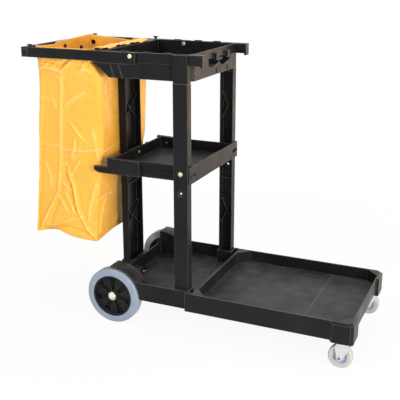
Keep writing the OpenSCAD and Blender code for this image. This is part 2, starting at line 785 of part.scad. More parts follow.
// Middle shelf: shallow tray with a lug that reaches back to the rear column, open at the front
module middle_shelf() {
  lug = rear_w / 2 - 8;
  color(BLACK) difference() {
    union() {
      span([shelf_x0, -shelf_half, shelf_low], [shelf_x1, shelf_half, shelf_rim]);
      span([rear_front + turn_gap, -lug, shelf_under], [shelf_x0 + EPS, lug, shelf_rim]);
    }
    span([shelf_x0 + wall, -shelf_half + wall, shelf_floor],
         [shelf_x1 + CUT, shelf_half - wall, shelf_rim + CUT]);
    // Open underside with ribs
    difference() {
      span([shelf_x0 + wall, -shelf_half + wall, shelf_low - CUT],
           [shelf_x1 + CUT, shelf_half - wall, shelf_under]);
      for (k = [1 : 3]) {
        translate([0, (k / 2 - 1) * shelf_half, 0])
          span([shelf_x0, -rib_t / 2, shelf_low + 1], [shelf_x1, rib_t / 2, shelf_rim]);
        translate([shelf_x0 + k / 4 * (shelf_x1 - shelf_x0), 0, 0])
          span([-rib_t / 2, -shelf_half, shelf_low + 1], [rib_t / 2, shelf_half, shelf_rim]);
      }
    }
    both_sides() translate([0, shelf_half - wall - CUT, 0]) {
      translate([col_x, 0, shelf_bolt_z]) rod_y(bolt_bore, wall + 2 * CUT);
      for (x = arm_screw_places()) translate([x, 0, arm_screw_z()]) rod_y(screw_bore, wall + 2 * CUT);
    }
    translate([rear_front - CUT, 0, cross_bolt_heights()[0]])
      rod_x(bolt_bore, shelf_x0 - rear_front + wall + 2 * CUT);
  }
}

// Front wall of the shelf, across the front columns, with a slot at each end
module shelf_front() {
  color(BLACK) difference() {
    span([shelf_x1, -col_out, shelf_low], [shelf_front_x1, col_out, shelf_rim + shelf_front_up]);
    for (y = [-slot_y, slot_y]) translate([shelf_x1, y, slot_low])
      span([-CUT, -slot_w / 2, 0], [shelf_front + CUT, slot_w / 2, slot_h]);
  }
}

// Side arms that reach back past the rear column and steady the bag
function arm_screw_places() = [shelf_x0 + arm_front / 4, shelf_x0 + arm_front * 0.8];
function arm_screw_z() = shelf_low + shelf_h / 2 + 4;

module shelf_arm(s) {
  x1 = shelf_x0 + arm_front;
  x0 = shelf_x0 - arm_back;
  tip = shelf_x0 - arm_reach;
  color(BLACK) side(s) difference() {
    translate([0, shelf_half + turn_gap + arm_t, 0]) rotate([90, 0, 0]) linear_extrude(arm_t)
      polygon([[x1, arm_low], [x1, shelf_rim - 2], [x0, shelf_rim + 2], [x0, arm_low + tongue_h],
               [tip, arm_low + tongue_h], [tip, arm_low + 8], [tip + 16, arm_low], [x0, arm_low - 1]]);
    translate([0, shelf_half + turn_gap, arm_low])
      span([tip - CUT, -CUT, 4], [x0, arm_t - 4, tongue_h - 4]);
    for (x = arm_screw_places()) translate([x, shelf_half, arm_screw_z()]) rod_y(screw_bore, arm_t - 2);
  }
}

module shelf_arm_screws() {
  color(STEEL) both_sides() for (x = arm_screw_places())
    translate([x, shelf_half - wall, arm_screw_z()])
      bolt(wall + turn_gap + arm_t - 4, screw_d, screw_head, screw_head / 3);
}

module shelf_bolts() {
  color(BRASS) {
    both_sides() translate([col_x, col_out - head_sink, shelf_bolt_z]) mirror([0, 1, 0])
      bolt(col_d - head_sink + turn_gap + wall - end_l / 2);
    translate([shelf_x0 + wall, 0, cross_bolt_heights()[0]]) rotate([0, 0, 90])
      bolt(shelf_x0 + wall - rear_back + long_nut_h + end_l, bolt_d, small_head_d, small_head_h);
  }
}

// Top tray: deep bin with rails, rear flange and gussets. Its front wall, legs and handle ends are nodes of
// their own, so that each takes simple collision pieces.
module tray_plan(in) {
  c = tray_chamfer - in * (2 - sqrt(2));
  h = tray_half - in;
  polygon([[tray_x0 + in, -h], [tray_x1 - in - c, -h], [tray_x1 - in, -h + c],
           [tray_x1 - in, h - c], [tray_x1 - in - c, h], [tray_x0 + in, h]]);
}

// What the slope at the tray's lower rear edge takes away
module rear_wedge() {
  run = 2 * rear_slope_h;
  translate([0, rail_out, 0]) rotate([90, 0, 0]) linear_extrude(2 * rail_out)
    polygon([[tray_x0 - run, tray_low + rear_slope_h + run * rear_slope],
             [gusset_x + run, tray_low - run * rear_slope], [tray_x0 - run, tray_low - run * rear_slope]]);
}

module gusset_side() {
  polygon([[gusset_x + gusset_l, gusset_low], [gusset_x + gusset_l, gusset_top],
           [gusset_tip, gusset_top], [gusset_tip, gusset_top - gusset_lip.y],
           [gusset_tip + gusset_lip.x, gusset_top - gusset_lip.y], [gusset_x, gusset_low]]);
}

module gusset_rib(x_top, x_low) {
  polygon([[x_top + 4, gusset_top], [x_top, gusset_top], [x_low, gusset_low], [x_low + 4, gusset_low]]);
}

// Tool notch: a lopsided pocket, deepest near its right end
function notch_starts() = [notch_mid - notch_gap / 2 - notch_w, notch_mid + notch_gap / 2];

module tool_notch() {
  polygon([[0, 0], [0, -0.65 * notch_h], [0.28 * notch_w, -notch_h], [notch_w, -0.6 * notch_h],
           [notch_w, -0.2 * notch_h]]);
}

module leg_block(in, z0, z1) {
  slab(z0, z1) round_rect([col_x - col_w / 2 + in, col_in + in], [col_x + col_w / 2 - in, col_out - in],
                          max(3 - in, 0.5));
}

module top_tray() {
  leg_back = col_x - col_w / 2;
  color(BLACK) difference() {
    union() {
      difference() {
        union() {
          difference() {
            slab(tray_low, tray_rim) tray_plan(0);
            rear_wedge();
          }
          both_sides() span([flange_x0, tray_half - wall, rail_low], [leg_back + EPS, rail_out, tray_rim]);
          span([flange_x0, -rail_out, rail_low], [tray_x0 + EPS, rail_out, tray_rim]);
        }
        // Underside of the rails and of the rear flange
        both_sides() span([flange_x0 + wall, tray_half, rail_low - CUT],
                          [leg_back + CUT, rail_out - wall, tray_rim - wall]);
        span([flange_x0 + wall, -tray_half, rail_low - CUT], [tray_x0, tray_half, tray_rim - wall]);
        difference() {
          slab(tray_low + wall, tray_rim + CUT) tray_plan(wall);
          translate([slope_wall, 0, 0]) rear_wedge();
        }
        // Places of the front wall and of the legs
        span([tray_x1 - wall, -front_flat, tray_low - CUT], [tray_x1 + CUT, front_flat, tray_rim + CUT]);
        both_sides() span([leg_back, col_in, leg_low - CUT], [col_front, col_out + CUT, tray_rim + CUT]);
      }
      both_sides() {
        // Gusset under the frame arm, with its two slanting ribs
        translate([0, arm_out, 0]) rotate([90, 0, 0]) linear_extrude(frame_t) gusset_side();
        slab(gusset_low, gusset_top)
          polygon([[gusset_x, tray_half - EPS], [gusset_x + gusset_l + gusset_run, tray_half - EPS],
                   [gusset_x + gusset_l, arm_out], [gusset_x, arm_out]]);
        for (k = [0, 1]) translate([0, arm_out + gusset_rib_t, 0]) rotate([90, 0, 0])
          linear_extrude(gusset_rib_t + EPS)
            gusset_rib(gusset_x + (0.07 + 0.5 * k) * gusset_l, gusset_x + (0.27 + 0.55 * k) * gusset_l);
        // Pads along the rail
        for (k = [0.26, 0.52, 0.75]) translate([tray_x0 + k * (tray_x1 - tray_x0), rail_out, tray_rim])
          span([-pad_l / 2, -8, -EPS], [pad_l / 2, -1, 3]);
        // Boss behind the frame bolt
        translate([frame_bolt_x, tray_half - EPS, frame_bolt_z])
          rod_y(boss_d, rail_out - tray_half - wall + 2 * EPS);
      }
    }
    both_sides() translate([frame_bolt_x, tray_half - wall - CUT, frame_bolt_z]) rod_y(bolt_bore, rail_out);
    translate([tray_x0 - CUT, 0, tray_bolt_z]) rod_x(bolt_bore, wall + 2 * CUT);
  }
}

// Front wall of the tray with the two tool notches; beside each a horn and a ledge, and a rib below
module tray_front() {
  color(BLACK) difference() {
    union() {
      span([tray_x1 - wall, -front_flat, tray_low], [tray_x1, front_flat, tray_rim]);
      for (y = notch_starts()) translate([tray_x1, y, 0]) {
        span([-EPS, notch_w / 2, notch_top - 10], [horn_out, notch_w / 2 + horn_w, notch_top + 13]);
        span([-EPS, notch_w / 2, notch_top - 10], [horn_out, notch_w + notch_gap, notch_top - 4]);
        span([-EPS, notch_w * 0.75, tray_low + 4], [gusset_rib_t, notch_w * 0.75 + rib_t, tray_low + 22]);
      }
    }
    for (y = notch_starts()) translate([tray_x1 - wall - CUT, y, notch_top])
      rotate([90, 0, 90]) linear_extrude(wall + 1.5 * CUT) tool_notch();
  }
}

// Hollow leg over a front column
module tray_leg(s) {
  color(BLACK) side(s) difference() {
    leg_block(0, leg_low, tray_rim - 1);
    leg_block(wall, leg_low + leg_t, tray_rim + CUT);
    translate([col_x, col_in + col_d / 2, leg_low - CUT]) cylinder(d = bolt_bore, h = leg_t + 2 * CUT);
  }
}

// Handle end in front of a leg: a hollow box, open below, with a lip at its end
module tray_handle(s) {
  x1 = tray_x1 + handle_l;
  y0 = rail_out - handle_w;
  color(BLACK) side(s) difference() {
    union() {
      span([col_front, y0, rail_low], [x1, rail_out, tray_rim]);
      span([x1 - lip_t, y0, rail_low - lip_drop], [x1, rail_out, tray_rim]);
    }
    span([col_front + wall, y0 + wall, rail_low - lip_drop - CUT],
         [x1 - wall, rail_out - wall, tray_rim - wall]);
  }
}

module tray_bolts() {
  color(STEEL) {
    both_sides() translate([col_x, col_in + col_d / 2, leg_low + leg_t]) rotate([-90, 0, 0])
      bolt(leg_t + foot_t - end_l);
    translate([tray_x0 + wall, 0, tray_bolt_z]) rotate([0, 0, 90])
      bolt(tray_x0 + wall - rear_back + long_nut_h + end_l, bolt_d, small_head_d, small_head_h);
  }
}

// Nuts of the two bolts through the rear column
module rear_nuts() {
  color(STEEL) for (z = cross_bolt_heights()) translate([rear_back, 0, z]) rotate([0, 0, 90]) nut();
}

// Bag frame: closed loop bolted to the tray rail, with hooks for the bag
module frame_hook() {
  span([-4, -4, -EPS], [4, 4, 10]);
  span([-9, -4, 6], [9, 4, 10]);
}

module bag_frame() {
  color(BLACK) difference() {
    union() {
      both_sides() {
        span([frame_x0, arm_in, frame_low + 4], [lap_x1 - lap_l, arm_out, tray_rim]);
        span([lap_x1 - lap_l - EPS, arm_in, frame_low], [lap_x1, arm_out, tray_rim]);
        span([frame_x0 + 6, arm_out - EPS, frame_low + 10], [frame_x0 + 26, arm_out + 3, tray_rim - 6]);
        for (x = hook_x) translate([x, arm_in + frame_t / 2, tray_rim]) frame_hook();
      }
      span([frame_x0, -arm_out, frame_low + 4], [frame_x0 + rear_bar_t, arm_out, tray_rim]);
      span([bar_x0, -arm_in - EPS, tray_rim - 28], [bar_x1, arm_in + EPS, tray_rim]);
    }
    both_sides() translate([frame_bolt_x, arm_in - CUT, frame_bolt_z])
      rod_y(bolt_bore, frame_t + 2 * CUT);
  }
}

module frame_bolts() {
  color(BRASS) both_sides() translate([frame_bolt_x, arm_out, frame_bolt_z]) mirror([0, 1, 0])
    bolt(arm_out - tray_half + wall + long_nut_h + end_l);
}

module frame_nuts() {
  color(STEEL) both_sides() translate([frame_bolt_x, tray_half - wall, frame_bolt_z]) mirror([0, 1, 0]) nut();
}

// Bag: open-topped shell that hangs inside the frame loop
module bag_plan(in) {
  w = bag_x1 - bag_x0;
  round_rect([-w / 2 + in, -bag_half + in], [w / 2 - in, bag_half - in], bag_corner - in);
}

module bag_body(in, z0, z1) {
  translate([(bag_x0 + bag_x1) / 2, 0, z1]) mirror([0, 0, 1])
    linear_extrude(z1 - z0, scale = [bag_taper_x, bag_taper_y], slices = 1, $fn = 48) bag_plan(in);
}

module bag() {
  color(YELLOW) difference() {
    bag_body(0, bag_low, bag_top);
    bag_body(bag_t, bag_low + bag_t, bag_top + CUT);
  }
}

// Grommets in the hem: along both sides and along the rear, on the bag's inner face
module grommet() {
  difference() {
    rod_y(grommet_d, grommet_t);
    translate([0, -CUT, 0]) rod_y(grommet_d / 2, grommet_t + 2 * CUT);
  }
}

module bag_grommets() {
  in = bag_t + turn_gap + grommet_t;
  color(BLACK) translate([0, 0, bag_top - 2 * grommet_d + 3]) {
    both_sides() for (k = [0.28, 0.7])
      translate([bag_x0 + k * (bag_x1 - bag_x0), bag_half - in - grommet_t, 0]) grommet();
    for (k = [-0.65, -0.25, 0.15, 0.65])
      translate([bag_x0 + in, k * bag_half, 0]) rotate([0, 0, 90]) grommet();
  }
}

base_tray();
platform();
platform_screws();
rear_axle();
axle_washers();
axle_caps();
wheel_hub(1);  // wheel_hub_left
wheel_hub(-1);  // wheel_hub_right
tyre(1);  // tyre_left
tyre(-1);  // tyre_right
wheel_bush(1);  // wheel_bush_left
wheel_bush(-1);  // wheel_bush_right
caster_plate(1);  // caster_plate_left
caster_plate(-1);  // caster_plate_right
caster_screws();
kingpin(1);  // kingpin_left
kingpin(-1);  // kingpin_right
caster_race(1);  // caster_race_left
caster_race(-1);  // caster_race_right
caster_fork(1);  // caster_fork_left
caster_fork(-1);  // caster_fork_right
caster_core(1);  // caster_core_left
caster_core(-1);  // caster_core_right
caster_tyre(1);  // caster_tyre_left
caster_tyre(-1);  // caster_tyre_right
caster_axle(1);  // caster_axle_left
caster_axle(-1);  // caster_axle_right
caster_nut(1);  // caster_nut_left
caster_nut(-1);  // caster_nut_right
rear_column();
front_column(1);  // front_column_left
front_column(-1);  // front_column_right
column_bolts();
middle_shelf();
shelf_front();
shelf_arm(1);  // shelf_arm_left
shelf_arm(-1);  // shelf_arm_right
shelf_arm_screws();
shelf_bolts();
top_tray();
tray_front();
tray_leg(1);  // tray_leg_left
tray_leg(-1);  // tray_leg_right
tray_handle(1);  // tray_handle_left
tray_handle(-1);  // tray_handle_right
tray_bolts();
rear_nuts();
bag_frame();
frame_bolts();
frame_nuts();
bag();
bag_grommets();
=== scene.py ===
"""Looks of the janitor cart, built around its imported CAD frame.

Metres, in the frame's own axes: +X to the load platform, +Y to the left side, +Z up from the floor.
The bag's sides are named as the camera sees them: near (-Y), front (+X), far (+Y) and rear (-X).
"""
import json
import math

import bpy
import numpy as np
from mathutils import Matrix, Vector, noise


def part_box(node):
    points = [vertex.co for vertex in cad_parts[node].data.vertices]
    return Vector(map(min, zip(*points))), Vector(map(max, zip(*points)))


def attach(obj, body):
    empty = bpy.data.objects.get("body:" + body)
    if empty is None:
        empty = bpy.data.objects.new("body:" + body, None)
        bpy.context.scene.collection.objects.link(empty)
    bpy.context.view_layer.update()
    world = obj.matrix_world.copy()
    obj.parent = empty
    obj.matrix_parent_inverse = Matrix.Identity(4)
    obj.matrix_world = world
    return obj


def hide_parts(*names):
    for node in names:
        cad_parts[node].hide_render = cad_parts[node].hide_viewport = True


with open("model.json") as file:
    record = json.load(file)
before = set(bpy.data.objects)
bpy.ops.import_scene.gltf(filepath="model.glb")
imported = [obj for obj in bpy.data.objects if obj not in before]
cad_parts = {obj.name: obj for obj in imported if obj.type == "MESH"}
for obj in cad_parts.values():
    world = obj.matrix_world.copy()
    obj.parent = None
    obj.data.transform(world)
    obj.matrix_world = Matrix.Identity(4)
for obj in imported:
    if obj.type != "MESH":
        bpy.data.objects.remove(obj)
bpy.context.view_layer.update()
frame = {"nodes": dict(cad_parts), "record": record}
nodes = frame["nodes"]

# Camera: turned from +Y towards -X, tilted down, lens and sensor in mm, shift as a share of the width
CAMERA_TURN = math.radians(23.75)
CAMERA_TILT = math.radians(15.94)
CAMERA_PLACE = (1.0239, -2.3814, 1.2562)
CAMERA_LENS = 68.27
CAMERA_SENSOR = 36.0
CAMERA_SHIFT = -0.06

# Light: share of the world's white that lights the object, and the floor's share of plain white
AMBIENT = 0.34
FLOOR_WHITE = 0.93
FLOOR_FADE = (0.9, 1.9)
FLOOR_RADIUS = 4.0
FLOOR_STEPS = 96
LAMPS = [  # name, place, size, watts, colour
    ("key", (-1.7, -2.5, 2.5), 1.0, 48, (1.0, 0.975, 0.95)),
    ("side", (2.6, -1.8, 1.05), 1.3, 98, (1.0, 0.93, 0.84)),
    ("warm", (1.45, 1.75, 0.45), 1.9, 21, (1.0, 0.66, 0.36)),
    ("top", (0.1, 0.6, 3.2), 2.0, 44, (1.0, 0.99, 0.97)),
]
AIM = Vector((0.0, 0.0, 0.5))


# Node trees
class Paint:
    """A procedural material: a principled shader and short calls that add nodes in front of it."""

    # Cosine between the rounded normal and the plain one: on a flat face, and at a full edge
    EDGE_FLAT = 0.995
    EDGE_FULL = 0.90
    # A colour Mix node's own sockets, which share their names with those of its other types
    MIX_SHARE, MIX_FIRST, MIX_SECOND, MIX_RESULT = 0, 6, 7, 2

    def __init__(self, name, **constants):
        self.material = bpy.data.materials.new(name)
        self.material.use_nodes = True
        self.tree = self.material.node_tree
        self.tree.nodes.clear()
        output = self.node("OutputMaterial")
        self.shader = self.node("BsdfPrincipled")
        self.join(self.shader.outputs["BSDF"], output.inputs["Surface"])
        self.place = self.node("TexCoord").outputs["Object"]
        for socket, value in constants.items():
            self.shader.inputs[socket.replace("_", " ")].default_value = value

    def node(self, kind, **settings):
        made = self.tree.nodes.new("ShaderNode" + kind)
        for name, value in settings.items():
            setattr(made, name, value)
        return made

    def join(self, source, target):
        self.tree.links.new(source, target)

    def feed(self, socket, value):
        """Sets a socket to a plain value, or links it to another socket."""
        if isinstance(value, bpy.types.NodeSocket):
            self.join(value, socket)
        else:
            socket.default_value = value

    def math(self, operation, a, b=0.0):
        made = self.node("Math", operation=operation)
        self.feed(made.inputs[0], a)
        self.feed(made.inputs[1], b)
        return made.outputs[0]

    def times(self, a, b):
        return self.math("MULTIPLY", a, b)

    def stretched(self, scale):
        """Object coordinates, scaled differently along each axis."""
        made = self.node("Mapping")
        self.join(self.place, made.inputs["Vector"])
        made.inputs["Scale"].default_value = scale
        return made.outputs["Vector"]

    def speckle(self, scale, detail=2.0, distortion=0.0, place=None):
        made = self.node("TexNoise")
        self.join(place or self.place, made.inputs["Vector"])
        made.inputs["Scale"].default_value = scale
        made.inputs["Detail"].default_value = detail
        made.inputs["Distortion"].default_value = distortion
        return made.outputs["Fac"]

    def cells(self, scale, place):
        """Distance to the nearest border between cells."""
        made = self.node("TexVoronoi", feature="DISTANCE_TO_EDGE")
        self.join(place, made.inputs["Vector"])
        made.inputs["Scale"].default_value = scale
        return made.outputs["Distance"]

    def threads(self, axis, scale):
        """Fine threads across one axis."""
        made = self.node("TexWave", bands_direction=axis)
        self.join(self.place, made.inputs["Vector"])
        made.inputs["Scale"].default_value = scale / (2 * math.pi)
        return made.outputs["Fac"]

    def spread(self, source, low, high, to_low=0.0, to_high=1.0):
        """Maps a range of a value to another range, clamped."""
        made = self.node("MapRange")
        made.inputs["From Min"].default_value = low
        made.inputs["From Max"].default_value = high
        made.inputs["To Min"].default_value = to_low
        made.inputs["To Max"].default_value = to_high
        self.join(source, made.inputs["Value"])
        return made.outputs["Result"]

    def blend(self, share, first, second):
        made = self.node("Mix", data_type="RGBA")
        self.feed(made.inputs[self.MIX_SHARE], share)
        self.feed(made.inputs[self.MIX_FIRST], first)
        self.feed(made.inputs[self.MIX_SECOND], second)
        return made.outputs[self.MIX_RESULT]

    def upward(self):
        """How far the surface faces up, from the true normal."""
        parts = self.node("SeparateXYZ")
        self.join(self.node("NewGeometry").outputs["True Normal"], parts.inputs["Vector"])
        return parts.outputs["Z"]

    def edges(self, radius):
        """One near a sharp edge, none on a flat face."""
        round_normal = self.node("Bevel", samples=6)
        round_normal.inputs["Radius"].default_value = radius
        dot = self.node("VectorMath", operation="DOT_PRODUCT")
        self.join(round_normal.outputs["Normal"], dot.inputs[0])
        self.join(self.node("NewGeometry").outputs["Normal"], dot.inputs[1])
        return self.spread(dot.outputs["Value"], self.EDGE_FLAT, self.EDGE_FULL)

    def bumps(self, *layers):
        """Stacks bump layers of (height, strength, distance) onto the shader's normal."""
        below = None
        for height, strength, distance in layers:
            made = self.node("Bump")
            made.inputs["Strength"].default_value = strength
            made.inputs["Distance"].default_value = distance
            self.join(height, made.inputs["Height"])
            if below:
                self.join(below, made.inputs["Normal"])
            below = made.outputs["Normal"]
        self.join(below, self.shader.inputs["Normal"])

    def surface(self, colour, roughness):
        self.feed(self.shader.inputs["Base Color"], colour)
        self.feed(self.shader.inputs["Roughness"], roughness)
        return self.material


def rgb(red, green, blue):
    return (red, green, blue, 1.0)


# Finishes
BLACK_DEEP = rgb(0.0070, 0.0075, 0.0085)
BLACK_SOFT = rgb(0.013, 0.013, 0.0135)
# Paler colour on the edges of the black plastic: a painted highlight
BLACK_EDGE_HIGHLIGHT = rgb(0.17, 0.175, 0.185)
HUB_DEEP = rgb(0.007, 0.007, 0.008)
# Paler colour on the edges of the hubs: a painted highlight
HUB_EDGE_HIGHLIGHT = rgb(0.07, 0.07, 0.075)
# Paler colour of upward faces: dust and a painted sheen
DUST_AND_SHEEN = rgb(0.084, 0.083, 0.081)
MOULD_LINE = rgb(0.20, 0.20, 0.19)
BRASS_BRIGHT = rgb(0.86, 0.77, 0.55)
BRASS_STAINED = rgb(0.70, 0.58, 0.36)
BARE_STEEL = rgb(0.80, 0.82, 0.84)
FLOOR_TONE = rgb(0.86, 0.86, 0.855)
# Reach of the painted edge highlight, and radius of the bare crown on the axle caps
EDGE_HIGHLIGHT_REACH = 0.0020
CAP_CROWN_R = 0.0075
# Faint lines across the platform's floor: axis, place, width, strength
DECK_LINES = [("X", 0.4185, 0.0030, 0.24), ("Y", 0.0180, 0.0024, 0.07)]
# Mesh attribute that says how strongly the bag's crests get a painted highlight
CREST_HIGHLIGHT_ATTRIBUTE = "painted_highlight"


def moulded_plastic(name, dark, light, edge_highlight, rough, lines=(), level=0.14, dust_and_sheen_share=0.55, lying_rough=0.06):
    """Black moulded plastic: cloudy tone, fine grain, floors paler with dust and a painted sheen, edges
    paler as a painted highlight, and mould lines.
    """
    p = Paint(name, IOR=1.46, Specular_IOR_Level=level)
    clouds = p.speckle(7.0, 4.0)
    tone = p.blend(p.spread(clouds, 0.35, 0.7), dark, light)
    lying = p.spread(p.upward(), 0.8, 0.98)
    # Upward faces paler and mottled: dust and a painted sheen
    dust_and_sheen = p.times(lying, p.spread(p.speckle(16.0, 6.0), 0.3, 0.75, 0.25, 1.0))
    tone = p.blend(p.times(dust_and_sheen, dust_and_sheen_share), tone, DUST_AND_SHEEN)
    axes = p.node("SeparateXYZ")
    p.join(p.place, axes.inputs["Vector"])
    for axis, place, width, strength in lines:
        away = p.math("ABSOLUTE", p.math("SUBTRACT", axes.outputs[axis], place))
        line = p.times(p.spread(away, width / 2, width, strength, 0.0), lying)
        broken = p.times(line, p.spread(clouds, 0.3, 0.6, 0.3, 1.0))
        tone = p.blend(broken, tone, MOULD_LINE)
    # Painted highlight: edges paler, broken up by noise
    painted_highlight = p.times(p.edges(EDGE_HIGHLIGHT_REACH), p.spread(p.speckle(55.0, 4.0), 0.20, 0.55))
    tone = p.blend(p.times(painted_highlight, 0.9), tone, edge_highlight)
    shine = p.spread(p.speckle(24.0, 5.0), 0.3, 0.7, rough - 0.06, rough + 0.07)
    shine = p.math("ADD", shine, p.times(lying, lying_rough))
    grain = p.speckle(1100.0, 2.0)
    flow = p.speckle(11.0, 2.0, 0.6)
    p.bumps((flow, 0.10, 0.004), (grain, 0.16, 0.0006))
    return p.surface(tone, shine)


def rubber(name, main, scuffed, rough):
    """Non-marking rubber: soft tone, faint scuffs, fine moulded skin."""
    p = Paint(name, IOR=1.5)
    clouds = p.spread(p.speckle(26.0, 5.0), 0.35, 0.7)
    scuffs = p.spread(p.speckle(140.0, 3.0, place=p.stretched((1.0, 0.25, 1.0))), 0.58, 0.75)
    tone = p.blend(p.times(clouds, 0.35), main, scuffed)
    tone = p.blend(p.times(scuffs, 0.15), tone, scuffed)
    shine = p.spread(p.speckle(60.0, 4.0), 0.3, 0.7, rough - 0.08, rough + 0.08)
    p.bumps((p.speckle(900.0, 2.0), 0.12, 0.0005))
    return p.surface(tone, shine)


def plain_plastic(name, main, shade, rough, level=0.5):
    """Hard pale or black plastic with a little tone and gloss variation."""
    p = Paint(name, IOR=1.48, Specular_IOR_Level=level)
    tone = p.blend(p.spread(p.speckle(45.0, 4.0), 0.3, 0.7), main, shade)
    shine = p.spread(p.speckle(70.0, 4.0), 0.3, 0.7, rough - 0.05, rough + 0.08)
    p.bumps((p.speckle(700.0, 2.0), 0.08, 0.0004))
    return p.surface(tone, shine)


def plated_steel(name, bright, stained, rough, crown=None):
    """Zinc plate: fine rolled streaks, cloudy bloom, and perhaps a bare crown round an axis along Y."""
    p = Paint(name, Metallic=1.0)
    bloom = p.spread(p.speckle(75.0, 5.0), 0.35, 0.75)
    tone = p.blend(p.times(bloom, 0.6), bright, stained)
    if crown:
        x, z, radius, bare = crown
        away = p.node("VectorMath", operation="DISTANCE")
        flat = p.node("VectorMath", operation="MULTIPLY")
        p.join(p.place, flat.inputs[0])
        flat.inputs[1].default_value = (1.0, 0.0, 1.0)
        p.join(flat.outputs["Vector"], away.inputs[0])
        away.inputs[1].default_value = (x, 0.0, z)
        tone = p.blend(p.spread(away.outputs["Value"], radius, radius * 1.15), bare, tone)
    streaks = p.speckle(500.0, 3.0, place=p.stretched((1.0, 1.0, 0.08)))
    shine = p.spread(streaks, 0.3, 0.7, rough - 0.08, rough + 0.12)
    p.bumps((streaks, 0.05, 0.0003))
    return p.surface(tone, shine)


def vinyl(name, main, deep, pale):
    """Soft coated bag cloth: fine weave, crumpled skin, faintly paler along the cell borders, and paler
    along the crests of the creases as a painted highlight.
    """
    p = Paint(name, IOR=1.46, Specular_IOR_Level=0.26, Sheen_Weight=0.05, Sheen_Roughness=0.4,
              Subsurface_Weight=0.25, Subsurface_Scale=0.0025, Subsurface_Radius=(1.0, 0.40, 0.08))
    tone = p.blend(p.spread(p.speckle(5.0, 3.0), 0.3, 0.7), main, deep)
    wander = p.node("VectorMath", operation="ADD")
    shift = p.node("TexNoise")
    shift.inputs["Scale"].default_value = 9.0
    p.join(p.place, shift.inputs["Vector"])
    p.join(p.stretched((1.0, 1.0, 0.7)), wander.inputs[0])
    p.join(shift.outputs["Color"], wander.inputs[1])
    skin = p.cells(13.0, wander.outputs["Vector"])
    tone = p.blend(p.times(p.spread(skin, 0.0, 0.05, 1.0, 0.0), 0.16), tone, pale)
    # Painted highlight: paler along the crests, read from the mesh attribute
    crest_highlight = p.node("Attribute", attribute_name=CREST_HIGHLIGHT_ATTRIBUTE).outputs["Fac"]
    crest_highlight = p.times(crest_highlight, p.spread(p.speckle(70.0, 4.0), 0.3, 0.6, 0.35, 1.0))
    tone = p.blend(p.times(crest_highlight, 0.95), tone, pale)
    weave = p.times(p.threads("X", 1500.0), p.threads("Z", 1500.0))
    shine = p.spread(p.speckle(30.0, 4.0), 0.3, 0.7, 0.19, 0.29)
    p.bumps((p.spread(skin, 0.0, 0.25), 0.08, 0.004), (p.speckle(60.0, 4.0, 0.8), 0.04, 0.0025),
            (weave, 0.06, 0.0003))
    return p.surface(tone, shine)


def axle_crown():
    """Bare crown of the axle caps: the rear axle's x and z, a radius and a colour."""
    low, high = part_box("rear_axle")
    return ((low.x + high.x) / 2, (low.z + high.z) / 2, CAP_CROWN_R, BARE_STEEL)


BLACK_PLASTIC = moulded_plastic("black_plastic", BLACK_DEEP, BLACK_SOFT, BLACK_EDGE_HIGHLIGHT, 0.36)
DECK_PLASTIC = moulded_plastic("deck_plastic", BLACK_DEEP, BLACK_SOFT, BLACK_EDGE_HIGHLIGHT, 0.36,
                               lines=DECK_LINES, level=0.16, dust_and_sheen_share=0.62, lying_rough=0.04)
HUB_PLASTIC = moulded_plastic("hub_plastic", HUB_DEEP, BLACK_SOFT, HUB_EDGE_HIGHLIGHT, 0.40)
BLUE_RUBBER = rubber("blue_grey_rubber", rgb(0.235, 0.30, 0.40), rgb(0.34, 0.41, 0.50), 0.44)
PALE_RUBBER = rubber("pale_rubber", rgb(0.40, 0.43, 0.40), rgb(0.46, 0.49, 0.46), 0.5)
CORE_PLASTIC = plain_plastic("core_plastic", rgb(0.43, 0.42, 0.54), rgb(0.36, 0.36, 0.47), 0.36)
NYLON = plain_plastic("bush_nylon", rgb(0.72, 0.70, 0.64), rgb(0.62, 0.60, 0.54), 0.45)
GROMMET = plain_plastic("grommet_plastic", rgb(0.006, 0.006, 0.007), rgb(0.010, 0.010, 0.010), 0.38, 0.12)
ZINC = plated_steel("zinc_steel", rgb(0.76, 0.78, 0.80), rgb(0.58, 0.60, 0.62), 0.30)
DARK_STEEL = plated_steel("dark_steel", rgb(0.20, 0.20, 0.22), rgb(0.12, 0.12, 0.13), 0.36)
BRASSY = plated_steel("brassy_zinc", BRASS_BRIGHT, BRASS_STAINED, 0.30)
CAP_STEEL = plated_steel("cap_steel", BRASS_BRIGHT, BRASS_STAINED, 0.26, crown=axle_crown())
VINYL = vinyl("yellow_vinyl", rgb(0.93, 0.495, 0.077), rgb(0.91, 0.450, 0.056), rgb(1.0, 0.70, 0.27))

SLOT_PAINT = {
    "black_plastic": BLACK_PLASTIC, "grommet_plastic": GROMMET, "blue_grey_tyre": BLUE_RUBBER,
    "pale_tyre": PALE_RUBBER, "pale_core": CORE_PLASTIC, "bush_nylon": NYLON, "zinc_steel": ZINC,
    "brassy_zinc": BRASSY, "yellow_vinyl": VINYL,
}
# Nodes whose finish differs from that of the rest of their slot
NODE_PAINT = {
    "wheel_hub_left": HUB_PLASTIC, "wheel_hub_right": HUB_PLASTIC, "platform": DECK_PLASTIC,
    "axle_caps": CAP_STEEL, "caster_axle_left": DARK_STEEL, "caster_axle_right": DARK_STEEL,
}


# CAD nodes: a finish for each, and softened edges
EDGE_BIG = 0.0016
EDGE_COLUMN = 0.0030
EDGE_SMALL = 0.0004
SHARP_ANGLE = math.radians(50)
CAD_WELD = 1e-6
BIG_MOULDINGS = (
    "base_tray", "platform", "middle_shelf", "shelf_front", "top_tray", "tray_front", "tray_handle_left",
    "tray_handle_right", "bag_frame", "shelf_arm_left", "shelf_arm_right")
COLUMNS = ("rear_column", "front_column_left", "front_column_right", "tray_leg_left", "tray_leg_right")


def edge_width(name):
    if name in COLUMNS:
        return EDGE_COLUMN
    if name in BIG_MOULDINGS:
        return EDGE_BIG
    return EDGE_SMALL


